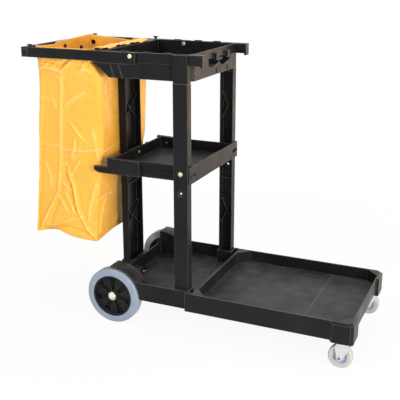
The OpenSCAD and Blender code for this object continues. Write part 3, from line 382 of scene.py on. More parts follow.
def soften(node, width):
    """Rounds a CAD node's sharp edges with modifiers, and leaves its mesh as it is."""
    weld = node.modifiers.new("weld", "WELD")
    weld.merge_threshold = CAD_WELD
    bevel = node.modifiers.new("edges", "BEVEL")
    bevel.width = width
    bevel.segments = 2
    bevel.limit_method = "ANGLE"
    bevel.angle_limit = SHARP_ANGLE
    bevel.use_clamp_overlap = True
    bevel.harden_normals = False


def dress_nodes():
    for part in frame["record"]["subparts"]:
        name = part["node"]
        materials = nodes[name].data.materials
        materials.clear()
        materials.append(NODE_PAINT.get(name, SLOT_PAINT[part["material_slot"]]))
        soften(nodes[name], edge_width(name))


# Bag: a lofted shell that hangs in the frame loop and leans back a little as it goes down
BAG_THICK = 0.0012
BAG_WELD = 1e-5
BAG_ROWS = 280
HEM_ROWS = 12
BOTTOM_ROWS = 14
SIDE_STEPS = {"near": 136, "front": 124, "far": 84, "rear": 96}
CORNER_STEPS = 11
FAR_REAR_R = 0.012
FAR_FRONT_R = 0.062
# Height, rear face x, front face x, half width, near rear and near front corner radius
BAG_RINGS = np.array([
    (0.975, -0.570, -0.3375, 0.204, 0.044, 0.012),
    (0.932, -0.569, -0.3375, 0.202, 0.044, 0.012),
    (0.915, -0.568, -0.3230, 0.199, 0.042, 0.012),
    (0.880, -0.570, -0.3070, 0.191, 0.036, 0.016),
    (0.809, -0.573, -0.3080, 0.186, 0.030, 0.014),
    (0.740, -0.577, -0.3100, 0.183, 0.024, 0.012),
    (0.640, -0.582, -0.3140, 0.178, 0.014, 0.010),
    (0.560, -0.588, -0.3270, 0.174, 0.010, 0.009),
    (0.500, -0.593, -0.3360, 0.173, 0.009, 0.008),
    (0.414, -0.602, -0.3490, 0.175, 0.008, 0.007),
    (0.270, -0.616, -0.3550, 0.176, 0.007, 0.006)])
RING_SAMPLES = 400
RING_EASE = 21
# Heights of the rings at the hem, where the wall starts and where it ends
HEM_RING = 0.93
TOP_RING = 0.972
LOW_RING = 0.280
# The rear face lies a little askew, nearer to the rear bar on the far side: slope, where it starts, fade
REAR_SKEW = 0.040
SKEW_X = -0.45
SKEW_FADE = 0.10

# Upper edge: plain level; rear edge, slack on one side of a split and raised on the other; far edge, as
# the heights at three x, and its rise to the rear; hooked far rear corner, behind an x
HEM_LEVEL = 0.9660
HEM_SPLIT_Y = -0.045
HEM_SLACK, HEM_SLACK_RISE = 0.9570, 0.05
HEM_RAISED, HEM_RAISED_RISE = 0.9635, 0.032
HEM_FAR_X, HEM_FAR_Z = (-0.45, -0.38, -0.34), (0.9600, 0.9540, 0.9640)
HEM_FAR_RISE = 0.080
HEM_HOOKED = 0.9715
HEM_HOOKED_X = -0.5
HEM_EASE = 5
# Lower edge: level, and the lift in the middle of the long sides and of the short ones
LOW_LEVEL = 0.276
LONG_LIFT, LONG_LIFT_X, LONG_LIFT_SPREAD = 0.028, -0.485, 0.060
SHORT_LIFT, SHORT_HALF = 0.012, 0.176
LOW_EASE = 9

# Panels: where they fade out under the frame, the upright crease's x at four heights, and their bulges
PANEL_TOP, PANEL_FADE = 0.925, 0.08
UPRIGHT_Z, UPRIGHT_X = (0.28, 0.44, 0.60, 0.87), (-0.535, -0.508, -0.486, -0.460)
FRONT_PANEL_BULGE, FRONT_PANEL_LENGTH = 0.006, 0.16
REAR_PANEL_TURN = 0.14
REAR_BULGE, REAR_HALF = 0.008, 0.18
CORNER_CALM = 0.7
# Crumple: where it fades out at the hem, then the height of each layer, its cells per metre along
# x, y and z, and how far the long wave pushes the cells aside
LOOSE_TOP, LOOSE_FADE = 0.980, 0.03
WAVE_HEIGHT, WAVE_CELLS = 0.0032, (9, 9, 4)
CELL_HEIGHT, CELL_CELLS, CELL_PUSH = 0.0034, (15, 15, 11), 200
FINE_HEIGHT, FINE_CELLS, FINE_PUSH = 0.0004, (34, 34, 26), 150
CELL_CAP = 0.40

# Creases on a side: points (place along the side, height), height of the crest, its half width
CREASES = [
    # Fold lines left from packing
    ("near", [(-0.575, 0.618), (-0.530, 0.614), (-0.487, 0.616)], 0.0045, 0.0055),
    ("near", [(-0.488, 0.604), (-0.444, 0.608), (-0.398, 0.606), (-0.348, 0.615), (-0.312, 0.621)],
     0.0055, 0.006),
    ("near", [(-0.461, 0.880), (-0.469, 0.806), (-0.478, 0.714), (-0.487, 0.604), (-0.497, 0.520),
              (-0.508, 0.440)], 0.0075, 0.009),
    ("front", [(-0.172, 0.610), (-0.143, 0.612), (-0.052, 0.622), (0.100, 0.616)], 0.0055, 0.006),
    ("far", [(-0.330, 0.612), (-0.440, 0.606), (-0.585, 0.614)], 0.005, 0.006),
    ("far", [(-0.456, 0.890), (-0.460, 0.600), (-0.480, 0.420)], 0.006, 0.009),
    ("rear", [(-0.165, 0.616), (0.000, 0.606), (0.165, 0.613)], 0.005, 0.006),
    ("rear", [(0.004, 0.900), (-0.004, 0.610), (0.006, 0.430)], 0.006, 0.009),
    # Swag and gathers under the near arm
    ("near", [(-0.562, 0.918), (-0.548, 0.905), (-0.530, 0.896), (-0.495, 0.893), (-0.459, 0.884),
              (-0.438, 0.901), (-0.408, 0.922)], 0.0125, 0.009),
    ("near", [(-0.550, 0.921), (-0.519, 0.912), (-0.487, 0.909), (-0.460, 0.904), (-0.430, 0.922)],
     -0.0125, 0.008),
    ("near", [(-0.528, 0.900), (-0.505, 0.918)], 0.006, 0.005),
    ("near", [(-0.497, 0.899), (-0.468, 0.919)], 0.007, 0.005),
    ("near", [(-0.472, 0.899), (-0.444, 0.921)], 0.007, 0.005),
    ("near", [(-0.376, 0.900), (-0.356, 0.924)], 0.008, 0.006),
    ("near", [(-0.364, 0.897), (-0.343, 0.916)], -0.005, 0.006),
    ("near", [(-0.396, 0.884), (-0.358, 0.900), (-0.330, 0.886)], 0.006, 0.010),
    # Slack diagonals in the upper half
    ("near", [(-0.565, 0.803), (-0.530, 0.777)], 0.0045, 0.007),
    ("near", [(-0.514, 0.795), (-0.487, 0.744)], 0.0045, 0.007),
    ("near", [(-0.470, 0.757), (-0.417, 0.792), (-0.358, 0.826)], 0.0050, 0.013),
    ("near", [(-0.455, 0.737), (-0.402, 0.768), (-0.352, 0.780)], -0.0030, 0.012),
    ("near", [(-0.439, 0.708), (-0.408, 0.677), (-0.379, 0.639)], 0.0070, 0.0055),
    ("near", [(-0.424, 0.696), (-0.395, 0.655)], 0.0055, 0.0045),
    ("near", [(-0.404, 0.634), (-0.409, 0.596), (-0.444, 0.572)], 0.0060, 0.0055),
    ("near", [(-0.424, 0.650), (-0.427, 0.613), (-0.444, 0.578)], 0.0075, 0.007),
    ("near", [(-0.350, 0.700), (-0.330, 0.560)], 0.0040, 0.012),
    ("front", [(-0.110, 0.880), (-0.078, 0.801), (-0.072, 0.740)], 0.0055, 0.009),
    ("front", [(-0.150, 0.850), (-0.120, 0.700)], 0.0040, 0.010),
    # Tucked corner and slack in the lower half
    ("near", [(-0.474, 0.545), (-0.452, 0.490), (-0.443, 0.441), (-0.434, 0.384), (-0.420, 0.362)],
     -0.0085, 0.006),
    ("near", [(-0.462, 0.535), (-0.441, 0.486), (-0.431, 0.438), (-0.423, 0.384), (-0.392, 0.325),
              (-0.356, 0.286)], 0.0100, 0.009),
    ("near", [(-0.490, 0.490), (-0.454, 0.450)], 0.0075, 0.006),
    ("near", [(-0.478, 0.455), (-0.435, 0.366)], 0.0085, 0.006),
    ("near", [(-0.500, 0.554), (-0.457, 0.551)], 0.0050, 0.006),
    ("near", [(-0.405, 0.578), (-0.451, 0.507)], 0.0065, 0.006),
    ("near", [(-0.344, 0.500), (-0.374, 0.400), (-0.383, 0.335)], 0.0060, 0.012),
    ("near", [(-0.512, 0.440), (-0.560, 0.360), (-0.606, 0.282)], 0.0085, 0.008),
    ("near", [(-0.500, 0.425), (-0.535, 0.360), (-0.560, 0.300)], -0.0060, 0.009),
    ("near", [(-0.517, 0.436), (-0.490, 0.410), (-0.470, 0.370)], 0.0055, 0.006),
    ("near", [(-0.550, 0.297), (-0.500, 0.314), (-0.467, 0.318), (-0.417, 0.306), (-0.368, 0.290)],
     -0.0110, 0.006),
    ("near", [(-0.490, 0.332), (-0.440, 0.352)], 0.0070, 0.008),
    ("near", [(-0.570, 0.560), (-0.545, 0.500), (-0.540, 0.450)], 0.0045, 0.009),
    ("front", [(-0.166, 0.425), (-0.140, 0.436), (-0.105, 0.442), (-0.065, 0.430)], 0.0065, 0.0055),
    ("front", [(-0.090, 0.440), (-0.073, 0.454)], 0.0050, 0.005),
    ("front", [(-0.109, 0.427), (-0.140, 0.398), (-0.153, 0.345), (-0.158, 0.300)], 0.0080, 0.006),
    ("front", [(-0.020, 0.345), (-0.060, 0.300)], 0.0050, 0.008),
    ("front", [(0.060, 0.560), (0.110, 0.430), (0.140, 0.300)], 0.0070, 0.009),
    ("far", [(-0.455, 0.540), (-0.410, 0.390), (-0.352, 0.286)], 0.0100, 0.009),
    ("far", [(-0.470, 0.540), (-0.425, 0.390), (-0.372, 0.300)], -0.0090, 0.009),
    ("far", [(-0.480, 0.430), (-0.550, 0.350), (-0.610, 0.284)], 0.0090, 0.008),
    ("far", [(-0.540, 0.905), (-0.460, 0.882), (-0.390, 0.908)], 0.0100, 0.010),
    ("far", [(-0.530, 0.790), (-0.400, 0.700)], 0.0050, 0.012),
    ("rear", [(0.004, 0.450), (-0.080, 0.370), (-0.168, 0.290)], 0.0090, 0.009),
    ("rear", [(0.004, 0.450), (0.090, 0.360), (0.168, 0.290)], 0.0090, 0.009),
    ("rear", [(-0.120, 0.905), (-0.040, 0.870), (0.060, 0.885), (0.140, 0.910)], 0.0090, 0.011),
    ("rear", [(-0.110, 0.760), (-0.020, 0.690)], 0.0050, 0.012),
    ("rear", [(0.120, 0.560), (0.030, 0.500)], 0.0060, 0.010),
]
# Shares of those heights and widths that the vinyl takes, and the crest height that gets the full painted
# highlight
CREST_SHARE = 0.76
WIDTH_SHARE = 0.70
FULL_HIGHLIGHT_CREST = 0.0055
# Profile of a crease, in half widths: what is left of it at its ends and how soon it is whole, then the
# depth, place and spread of the hollow beside it
END_SHARE, END_FADE = 0.25, 3
HOLLOW_DEPTH, HOLLOW_PLACE, HOLLOW_SPREAD = 0.2, 2.2, 1.1

# Neighbours of the bag. The front face is what lies ahead of FRONT_X
FRONT_X = -0.42
# Pressed against the rear column and dented by its nuts: gap, limit in x, half width and ramp in y
COLUMN_GAP = 0.0035
COLUMN_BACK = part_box("rear_column")[0].x - COLUMN_GAP
PRESSED_HALF, PRESSED_RAMP = 0.176, 0.112
NUT_GAP = 0.0030
NUT_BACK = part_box("rear_nuts")[0].x - NUT_GAP
DENTED_HALF, DENTED_RAMP = 0.060, 0.035
# Behind the front bar: from a height up, the limit in x
BAR_LOW, BAR_BACK = 0.930, -0.3368
# Between the shelf arms: ahead of an x and between two heights, the limit in y
ARM_REAR, ARM_LOW, ARM_TOP, ARM_INSIDE = -0.352, 0.530, 0.606, 0.1830
# Within the bag frame: from a height up, the limit in y, and behind an x also a limit in x
FRAME_LOW, FRAME_INSIDE = 0.925, 0.2070
REAR_BAR_X, REAR_BAR_INSIDE = -0.55, -0.5862

# Flap over the front bar: level of the tray's flange below the frame's top, reach, half width and ramp
# in y, clearance and arch over the flange, unevenness of its edge and radians of it per metre, and ripples
# as (height, radians per metre, phase, turn over the flap)
FLANGE_DROP = 0.010
TRAY_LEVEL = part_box("bag_frame")[1].z - FLANGE_DROP
FLAP_REACH = 0.046
FLAP_HALF, FLAP_RAMP = 0.196, 0.02
FLAP_CLEAR, FLAP_ARCH = 0.0040, 0.003
FLAP_UNEVEN, FLAP_UNEVEN_RATE = 0.10, 23
FLAP_RIPPLES = [(0.0022, 60, 0, 0), (0.0014, 143, 1, 0), (0.0010, 31, 0, 9)]
FLAP_EASE = 11
# Rolled hem elsewhere: how far it rolls out and up
ROLL_OUT, ROLL_UP = 0.0012, 0.0030
# Bottom: share that it is drawn in along y, height of its edge, sag, and how soon it is reached
BOTTOM_DRAW = 0.5
BOTTOM_LEVEL, BOTTOM_SAG, BOTTOM_RATE = 0.290, 0.012, 2.5


def smooth(values, width):
    """Running average of a row of numbers, with its ends held."""
    kernel = np.hanning(width + 2)[1:-1]
    padded = np.pad(values, width // 2, mode="edge")
    return np.convolve(padded, kernel / kernel.sum(), mode="same")[width // 2: width // 2 + len(values)]


def smooth_round(values, width):
    """Running average round a closed ring."""
    wrapped = np.concatenate([values[-2 * width:], values, values[:2 * width]])
    return smooth(wrapped, width)[2 * width: -2 * width]


def on_side(sides, *names):
    """Which points are on one of the named sides."""
    return np.array([side in names for side in sides])


def lane_of(side):
    """The axis that a side runs along: 0 for x, 1 for y."""
    return 0 if side in ("near", "far") else 1


def ramp(start, value, length):
    """None at the start, one when the value is a length below it."""
    return np.clip((start - value) / length, 0, 1)


def ring_keys(height):
    """Ring sizes at a height, eased between the chosen ones."""
    table = BAG_RINGS[::-1]
    fine = np.linspace(table[0, 0], table[-1, 0], RING_SAMPLES)
    eased = [smooth(np.interp(fine, table[:, 0], column), RING_EASE) for column in table[:, 1:].T]
    return [float(np.interp(height, fine, column)) for column in eased]


def ring_points(rear, front, half, rear_r, front_r):
    """One ring, from the near rear corner along the near side, and the side that each point is on."""
    corners = [  # centre, radius, first angle
        ((rear + rear_r, -half + rear_r), rear_r, 180),
        ((front - front_r, -half + front_r), front_r, 270),
        ((front - FAR_FRONT_R, half - FAR_FRONT_R), FAR_FRONT_R, 0),
        ((rear + FAR_REAR_R, half - FAR_REAR_R), FAR_REAR_R, 90)]
    points, sides = [], []
    for index, side in enumerate(SIDE_STEPS):
        (cx, cy), radius, first = corners[index]
        angles = np.radians(first + np.linspace(0, 90, CORNER_STEPS, endpoint=False))
        points.append(np.stack([cx + radius * np.cos(angles), cy + radius * np.sin(angles)], -1))
        sides += ["corner"] * CORNER_STEPS
        (nx, ny), next_radius, _ = corners[(index + 1) % len(corners)]
        turn = math.radians(first + 90)
        way = np.array([math.cos(turn), math.sin(turn)])
        start = np.array([cx, cy]) + radius * way
        end = np.array([nx, ny]) + next_radius * way
        share = np.linspace(0, 1, SIDE_STEPS[side], endpoint=False)[:, None]
        points.append(start + (end - start) * share)
        sides += [side] * SIDE_STEPS[side]
    ring = np.concatenate(points)
    ring[:, 0] -= REAR_SKEW * (ring[:, 1] + half) * ramp(SKEW_X, ring[:, 0], SKEW_FADE)
    return ring, sides


def hem_height(points, sides):
    """Height of the bag's upper edge: hooked up at the far rear corner, slack at the rear and far side."""
    x, y = points[:, 0], points[:, 1]
    top = np.full(len(points), HEM_LEVEL)
    slack = HEM_SLACK + HEM_SLACK_RISE * np.clip(HEM_SPLIT_Y - y, 0, 1)
    raised = HEM_RAISED + HEM_RAISED_RISE * (y - HEM_SPLIT_Y)
    top = np.where(on_side(sides, "rear"), np.where(y > HEM_SPLIT_Y, raised, slack), top)
    far = on_side(sides, "far")
    top = np.where(far, np.interp(x, HEM_FAR_X, HEM_FAR_Z), top)
    rising = far & (x < HEM_FAR_X[0])
    top = np.where(rising, HEM_FAR_Z[0] + HEM_FAR_RISE * (HEM_FAR_X[0] - x), top)
    hooked = on_side(sides, "corner") & (x < HEM_HOOKED_X) & (y > 0)
    top = np.where(hooked, HEM_HOOKED, top)
    return smooth_round(top, HEM_EASE)


def bottom_height(points, sides):
    """Height of the bag's lower edge: lifted in the middle of each side, low at the corners."""
    x, y = points[:, 0], points[:, 1]
    low = np.full(len(points), LOW_LEVEL)
    long_lift = LONG_LIFT * np.exp(-((x - LONG_LIFT_X) / LONG_LIFT_SPREAD) ** 2)
    low += np.where(on_side(sides, "near", "far"), long_lift, 0)
    short_lift = SHORT_LIFT * (1 - (y / SHORT_HALF) ** 2)
    low += np.where(on_side(sides, "front", "rear"), short_lift, 0)
    return smooth_round(low, LOW_EASE)


def bag_grid():
    """Points of the bag's wall, rows from the hem down and columns round it, and each column's side."""
    base, sides = ring_points(*ring_keys(HEM_RING))
    top = hem_height(base, sides)
    low = bottom_height(base, sides)
    grid = np.zeros((BAG_ROWS + 1, len(base), 3))
    for row in range(BAG_ROWS + 1):
        share = row / BAG_ROWS
        grid[row, :, :2] = ring_points(*ring_keys(TOP_RING + share * (LOW_RING - TOP_RING)))[0]
        grid[row, :, 2] = top + share * (low - top)
    return grid, sides


def ring_normals(grid):
    """Outward level normals of the rings."""
    tangent = (np.roll(grid, -1, axis=1) - np.roll(grid, 1, axis=1))[:, :, :2]
    tangent /= np.linalg.norm(tangent, axis=2, keepdims=True) + 1e-12
    return np.stack([tangent[:, :, 1], -tangent[:, :, 0], np.zeros(tangent.shape[:2])], -1)


def path_offset(along, height, path, crest, width):
    """Crest or valley along a path on one side of the bag, with a softer hollow beside it."""
    best = np.full(along.shape, np.inf)
    for (a0, z0), (a1, z1) in zip(path[:-1], path[1:]):
        da, dz = a1 - a0, z1 - z0
        share = np.clip(((along - a0) * da + (height - z0) * dz) / (da * da + dz * dz), 0, 1)
        best = np.minimum(best, np.hypot(along - a0 - share * da, height - z0 - share * dz))
    fade = np.ones(along.shape)
    for a, z in (path[0], path[-1]):
        fade = np.minimum(fade, END_SHARE + np.hypot(along - a, height - z) / (END_FADE * width))
    q = best / width
    hollow = HOLLOW_DEPTH * np.exp(-((q - HOLLOW_PLACE) / HOLLOW_SPREAD) ** 2)
    return crest * np.minimum(fade, 1) * (np.exp(-q) - hollow)


def panel_bulge(side, along, heights):
    """Bulge of a side's panels. On the long sides the rear panel turns back behind the upright crease."""
    if side in ("near", "far"):
        crease = np.interp(heights, UPRIGHT_Z, UPRIGHT_X)
        behind = np.clip(crease - along, 0, None)
        ahead = np.clip(along - crease, 0, None)
        front_panel = FRONT_PANEL_BULGE * np.sin(np.clip(ahead / FRONT_PANEL_LENGTH, 0, 1) * np.pi)
        return front_panel - REAR_PANEL_TURN * behind
    if side == "rear":
        return REAR_BULGE * np.cos(along / REAR_HALF * np.pi / 2)
    return np.zeros(along.shape)


def crumple(x, y, z):
    """Height of the crumple at a point: a long wave, and two sizes of cells with sharp valleys."""
    loose = min(1.0, (LOOSE_TOP - z) / LOOSE_FADE)
    wave = noise.noise((x * WAVE_CELLS[0], y * WAVE_CELLS[1], z * WAVE_CELLS[2])) * WAVE_HEIGHT
    cell = noise.voronoi((x * CELL_CELLS[0] + CELL_PUSH * wave, y * CELL_CELLS[1], z * CELL_CELLS[2]))[0]
    fine = noise.voronoi((x * FINE_CELLS[0], y * FINE_CELLS[1] + FINE_PUSH * wave, z * FINE_CELLS[2]))[0]
    return loose * (wave + CELL_HEIGHT * min(cell[1] - cell[0], CELL_CAP)
                    + FINE_HEIGHT * min(fine[1] - fine[0], CELL_CAP))


def fold_sides(grid, sides):
    """Creases and panels of the four sides: how far each point moves out, and how strongly it gets the
    painted crest highlight.
    """
    z = grid[:, :, 2]
    out = np.zeros(z.shape)
    painted_highlight = np.zeros(z.shape)
    level = ramp(PANEL_TOP, z, PANEL_FADE)
    for side in SIDE_STEPS:
        columns = on_side(sides, side)
        along = grid[:, columns, lane_of(side)]
        heights = z[:, columns]
        for path, crest, width in [crease[1:] for crease in CREASES if crease[0] == side]:
            fold = path_offset(along, heights, path, crest, WIDTH_SHARE * width)
            out[:, columns] += CREST_SHARE * fold
            # Crests get a painted highlight, stronger on the higher ones
            if crest > 0:
                crest_highlight = np.clip(fold / crest, 0, 1) ** 2 * min(1.0, crest / FULL_HIGHLIGHT_CREST)
                painted_highlight[:, columns] = np.maximum(painted_highlight[:, columns], crest_highlight)
        out[:, columns] += level[:, columns] * panel_bulge(side, along, heights)
    return out, painted_highlight


def across_corners(values, sides, calm):
    """Passes each corner smoothly from one side's values to the next one's, calmer in its middle."""
    share = (np.arange(CORNER_STEPS) + 1) / (CORNER_STEPS + 1)
    for first in [k for k, side in enumerate(sides) if side == "corner" and sides[k - 1] != "corner"]:
        before = values[:, first - 1]
        after = values[:, first + CORNER_STEPS]
        across = before[:, None] * (1 - share) + after[:, None] * share
        values[:, first:first + CORNER_STEPS] = across * (1 - calm * np.sin(np.pi * share))


def fold_bag(grid, sides):
    """Panels, creases and crumple, all along the outward normal, and how strongly each crest is painted
    pale as a highlight.
    """
    normals = ring_normals(grid)
    out, painted_highlight = fold_sides(grid, sides)
    across_corners(out, sides, CORNER_CALM)
    across_corners(painted_highlight, sides, 0.0)
    for row in range(out.shape[0]):
        for column in range(out.shape[1]):
            out[row, column] += crumple(*grid[row, column])
    return grid + normals * out[:, :, None], painted_highlight


def clear_neighbours(grid):
    """Keeps the bag off the rear column and its nuts, the front bar, the shelf arms and the bag frame."""
    x, y, z = np.moveaxis(grid, 2, 0)
    pressed = ramp(PRESSED_HALF, np.abs(y), PRESSED_RAMP) * (x > FRONT_X)
    x = x + pressed * np.minimum(COLUMN_BACK - x, 0)
    dented = ramp(DENTED_HALF, np.abs(y), DENTED_RAMP) * (x > FRONT_X)
    x = x + dented * np.minimum(NUT_BACK - x, 0)
    at_front_bar = (z > BAR_LOW) & (x > FRONT_X)
    x = np.where(at_front_bar, np.minimum(x, BAR_BACK), x)
    beside_arms = (x > ARM_REAR) & (z > ARM_LOW) & (z < ARM_TOP)
    y = np.where(beside_arms, np.clip(y, -ARM_INSIDE, ARM_INSIDE), y)
    in_frame = z > FRAME_LOW
    y = np.where(in_frame, np.clip(y, -FRAME_INSIDE, FRAME_INSIDE), y)
    at_rear_bar = in_frame & (x < REAR_BAR_X)
    x = np.where(at_rear_bar, np.maximum(x, REAR_BAR_INSIDE), x)
    return np.stack([x, y, z], -1)


def flap_rows(top_row, sides):
    """Hem rows above the wall: over the front bar on to the tray's flange, a short rolled hem elsewhere."""
    y = top_row[:, 1]
    over = smooth_round(on_side(sides, "front").astype(float), FLAP_EASE)
    over = over * ramp(FLAP_HALF, np.abs(y), FLAP_RAMP)
    outward = ring_normals(top_row[None])[0]
    rows = []
    for step in range(1, HEM_ROWS + 1):
        share = step / HEM_ROWS
        ripple = sum(height * np.sin(y * rate + phase + turn * share)
                     for height, rate, phase, turn in FLAP_RIPPLES)
        uneven = 1 + FLAP_UNEVEN * np.sin(y * FLAP_UNEVEN_RATE)
        flap_x = top_row[:, 0] + share * FLAP_REACH * uneven
        arch = FLAP_ARCH * math.sin(share * np.pi)
        flap_z = TRAY_LEVEL + FLAP_CLEAR + ripple * math.sqrt(share) + arch
        roll = share * np.pi
        rolled = top_row + outward * ROLL_OUT * (1 - math.cos(roll))
        rolled = rolled + np.array([0, 0, ROLL_UP * math.sin(roll)])
        rows.append(rolled + (np.stack([flap_x, y, flap_z], -1) - rolled) * over[:, None])
    return rows


def bottom_rows(low_row):
    """Rows that close the bag's bottom, drawn in to a line along the bag's width, with a slight sag."""
    middle = low_row[:, :2].mean(0)
    rows = []
    for step in range(1, BOTTOM_ROWS + 1):
        share = step / BOTTOM_ROWS
        inner = low_row.copy()
        inner[:, 0] += (middle[0] - low_row[:, 0]) * share
        inner[:, 1] += BOTTOM_DRAW * (middle[1] - low_row[:, 1]) * share
        sag = BOTTOM_LEVEL - BOTTOM_SAG * math.sin(share * np.pi / 2)
        inner[:, 2] += (sag - low_row[:, 2]) * min(1.0, share * BOTTOM_RATE)
        rows.append(inner)
    return rows


def add_object(name, data):
    made = bpy.data.objects.new(name, data)
    bpy.context.scene.collection.objects.link(made)
    return made


def make_bag():
    grid, sides = bag_grid()
    grid, painted_highlight = fold_bag(grid, sides)
    grid = clear_neighbours(grid)
    rows = flap_rows(grid[0], sides)[::-1] + list(grid) + bottom_rows(grid[-1])
    points = np.concatenate(rows)
    count = len(sides)
    quads = []
    for row in range(len(rows) - 1):
        first = np.arange(count) + row * count
        second = np.roll(np.arange(count), -1) + row * count
        quads.append(np.stack([first, first + count, second + count, second], -1))
    mesh = bpy.data.meshes.new("bag_shell")
    mesh.from_pydata(points.tolist(), [], np.concatenate(quads).tolist())
    mesh.shade_smooth()
    # No painted crest highlight on the hem and bottom rows
    no_highlight_hem = np.zeros(HEM_ROWS * count)
    no_highlight_bottom = np.zeros(BOTTOM_ROWS * count)
    crest_highlight = mesh.attributes.new(CREST_HIGHLIGHT_ATTRIBUTE, "FLOAT", "POINT")
    crest_highlight.data.foreach_set("value", np.concatenate([no_highlight_hem, painted_highlight.ravel(), no_highlight_bottom]))
    mesh.materials.append(VINYL)
    bag = add_object("bag_shell", mesh)
    weld = bag.modifiers.new("weld", "WELD")
    weld.merge_threshold = BAG_WELD
    solid = bag.modifiers.new("thickness", "SOLIDIFY")
    solid.thickness = BAG_THICK
    solid.offset = 0
    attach(bag, "cart")
    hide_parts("bag")
    return bag, grid, sides


# Eyelets in the bag's hem: side, place along it, height
EYELETS = [("rear", -0.136, 0.934), ("rear", -0.060, 0.932), ("rear", 0.016, 0.946), ("rear", 0.131, 0.930),
           ("far", -0.570, 0.946), ("far", -0.412, 0.934), ("near", -0.520, 0.944), ("near", -0.412, 0.944)]
EYELET_OUT, EYELET_HOLE, EYELET_RISE = 0.0090, 0.0040, 0.0018
EYELET_GAP = 0.0010
EYELET_SEAT = BAG_THICK / 2 + EYELET_GAP
EYELET_STEPS = 28
# Radius and rise, from the dark middle, which closes the hole as painted shade, over the flange to the foot
EYELET_PROFILE = [
    (EYELET_HOLE * 0.2, 0.0002), (EYELET_HOLE, 0.0003), (EYELET_HOLE * 1.15, EYELET_RISE),
    (EYELET_OUT * 0.8, EYELET_RISE * 1.1), (EYELET_OUT, EYELET_RISE * 0.4), (EYELET_OUT, -0.0016)]
UP = Vector((0, 0, 1))


def nearest_point(grid, sides, side, along, height):
    """Row and column of the bag's point nearest to a place on one of its sides."""
    miss = (grid[:, :, lane_of(side)] - along) ** 2 + (grid[:, :, 2] - height) ** 2
    miss[:, ~on_side(sides, side)] = np.inf
    return np.unravel_index(miss.argmin(), miss.shape)


def make_eyelets(grid, sides):
    """Flanged eyelets on the inner face of the bag, each turned to the wall it sits in."""
    points, faces = [], []
    normals = ring_normals(grid)
    steps = range(EYELET_STEPS)
    for side, along, height in EYELETS:
        row, column = nearest_point(grid, sides, side, along, height)
        inward = -Vector(normals[row, column])
        across = UP.cross(inward).normalized()
        centre = Vector(grid[row, column]) + inward * EYELET_SEAT
        start = len(points)
        for radius, rise in EYELET_PROFILE:
            for step in steps:
                turn = 2 * math.pi * step / EYELET_STEPS
                points.append(centre + inward * rise + across * radius * math.cos(turn)
                              + UP * radius * math.sin(turn))
        foot = start + (len(EYELET_PROFILE) - 1) * EYELET_STEPS
        for ring in range(start, foot, EYELET_STEPS):
            for step in steps:
                a = ring + step
                b = ring + (step + 1) % EYELET_STEPS
                faces.append((a, b, b + EYELET_STEPS, a + EYELET_STEPS))
        # Dark disc over the middle: painted shade in place of the open hole
        faces.append(tuple(start + step for step in steps)[::-1])
        faces.append(tuple(foot + step for step in steps))
    mesh = bpy.data.meshes.new("bag_eyelets")
    mesh.from_pydata([tuple(point) for point in points], [], faces)
    mesh.shade_smooth()
    mesh.materials.append(GROMMET)
    eyelets = add_object("bag_eyelets", mesh)
    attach(eyelets, "cart")
    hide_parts("bag_grommets")
    return eyelets


# Stage
def seen_mask(tree):
    """One for rays that show the background: from the camera, in a gloss, or through something clear."""
    path = tree.nodes.new("ShaderNodeLightPath")
    mask = path.outputs["Is Camera Ray"]
    for name in ("Is Glossy Ray", "Is Transmission Ray"):
        most = tree.nodes.new("ShaderNodeMath")
        most.operation = "MAXIMUM"
        tree.links.new(mask, most.inputs[0])
        tree.links.new(path.outputs[name], most.inputs[1])
        mask = most.outputs[0]
    return mask


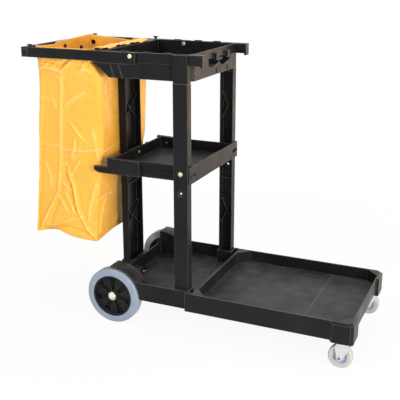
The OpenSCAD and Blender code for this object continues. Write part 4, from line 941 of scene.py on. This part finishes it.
def make_world():
    world = bpy.data.worlds.new("studio")
    bpy.context.scene.world = world
    world.use_nodes = True
    tree = world.node_tree
    light = tree.nodes["Background"]
    light.inputs["Color"].default_value = rgb(1.0, 1.0, 1.0)
    strength = tree.nodes.new("ShaderNodeMapRange")
    strength.inputs["To Min"].default_value = AMBIENT
    strength.inputs["To Max"].default_value = 1.0
    tree.links.new(seen_mask(tree), strength.inputs["Value"])
    tree.links.new(strength.outputs["Result"], light.inputs["Strength"])


def make_floor():
    """Pale round floor: part plain white to meet the background, part lit so that it keeps the shadow."""
    turns = [2 * math.pi * step / FLOOR_STEPS for step in range(FLOOR_STEPS)]
    rim = [(FLOOR_RADIUS * math.cos(turn), FLOOR_RADIUS * math.sin(turn), 0.0) for turn in turns]
    mesh = bpy.data.meshes.new("floor")
    mesh.from_pydata(rim, [], [tuple(range(FLOOR_STEPS))])
    floor = add_object("floor", mesh)
    p = Paint("floor_white", Specular_IOR_Level=0.0)
    p.surface(FLOOR_TONE, 0.8)
    away = p.node("VectorMath", operation="LENGTH")
    p.join(p.place, away.inputs[0])
    white = p.spread(away.outputs["Value"], *FLOOR_FADE, FLOOR_WHITE, 1.0)
    glow = p.node("Emission")
    both = p.node("MixShader")
    p.join(p.times(white, seen_mask(p.tree)), both.inputs["Fac"])
    p.join(p.shader.outputs["BSDF"], both.inputs[1])
    p.join(glow.outputs["Emission"], both.inputs[2])
    p.join(both.outputs["Shader"], p.tree.nodes["Material Output"].inputs["Surface"])
    mesh.materials.append(p.material)


def make_lamps():
    for name, place, size, watts, colour in LAMPS:
        data = bpy.data.lights.new(name, "AREA")
        data.size = size
        data.energy = watts
        data.color = colour
        lamp = add_object(name, data)
        lamp.location = place
        lamp.rotation_euler = (AIM - Vector(place)).to_track_quat("-Z", "Y").to_euler()


def make_camera():
    data = bpy.data.cameras.new("photo_view")
    data.lens = CAMERA_LENS
    data.sensor_width = CAMERA_SENSOR
    data.shift_y = CAMERA_SHIFT
    camera = add_object("photo_view", data)
    camera.location = CAMERA_PLACE
    camera.rotation_euler = (math.pi / 2 - CAMERA_TILT, 0.0, CAMERA_TURN)
    bpy.context.scene.camera = camera


make_camera()
make_world()
make_floor()
make_lamps()
dress_nodes()
bag_shell, bag_points, bag_sides = make_bag()
bag_eyelets = make_eyelets(bag_points, bag_sides)

bpy.context.scene.view_settings.view_transform = "Standard"
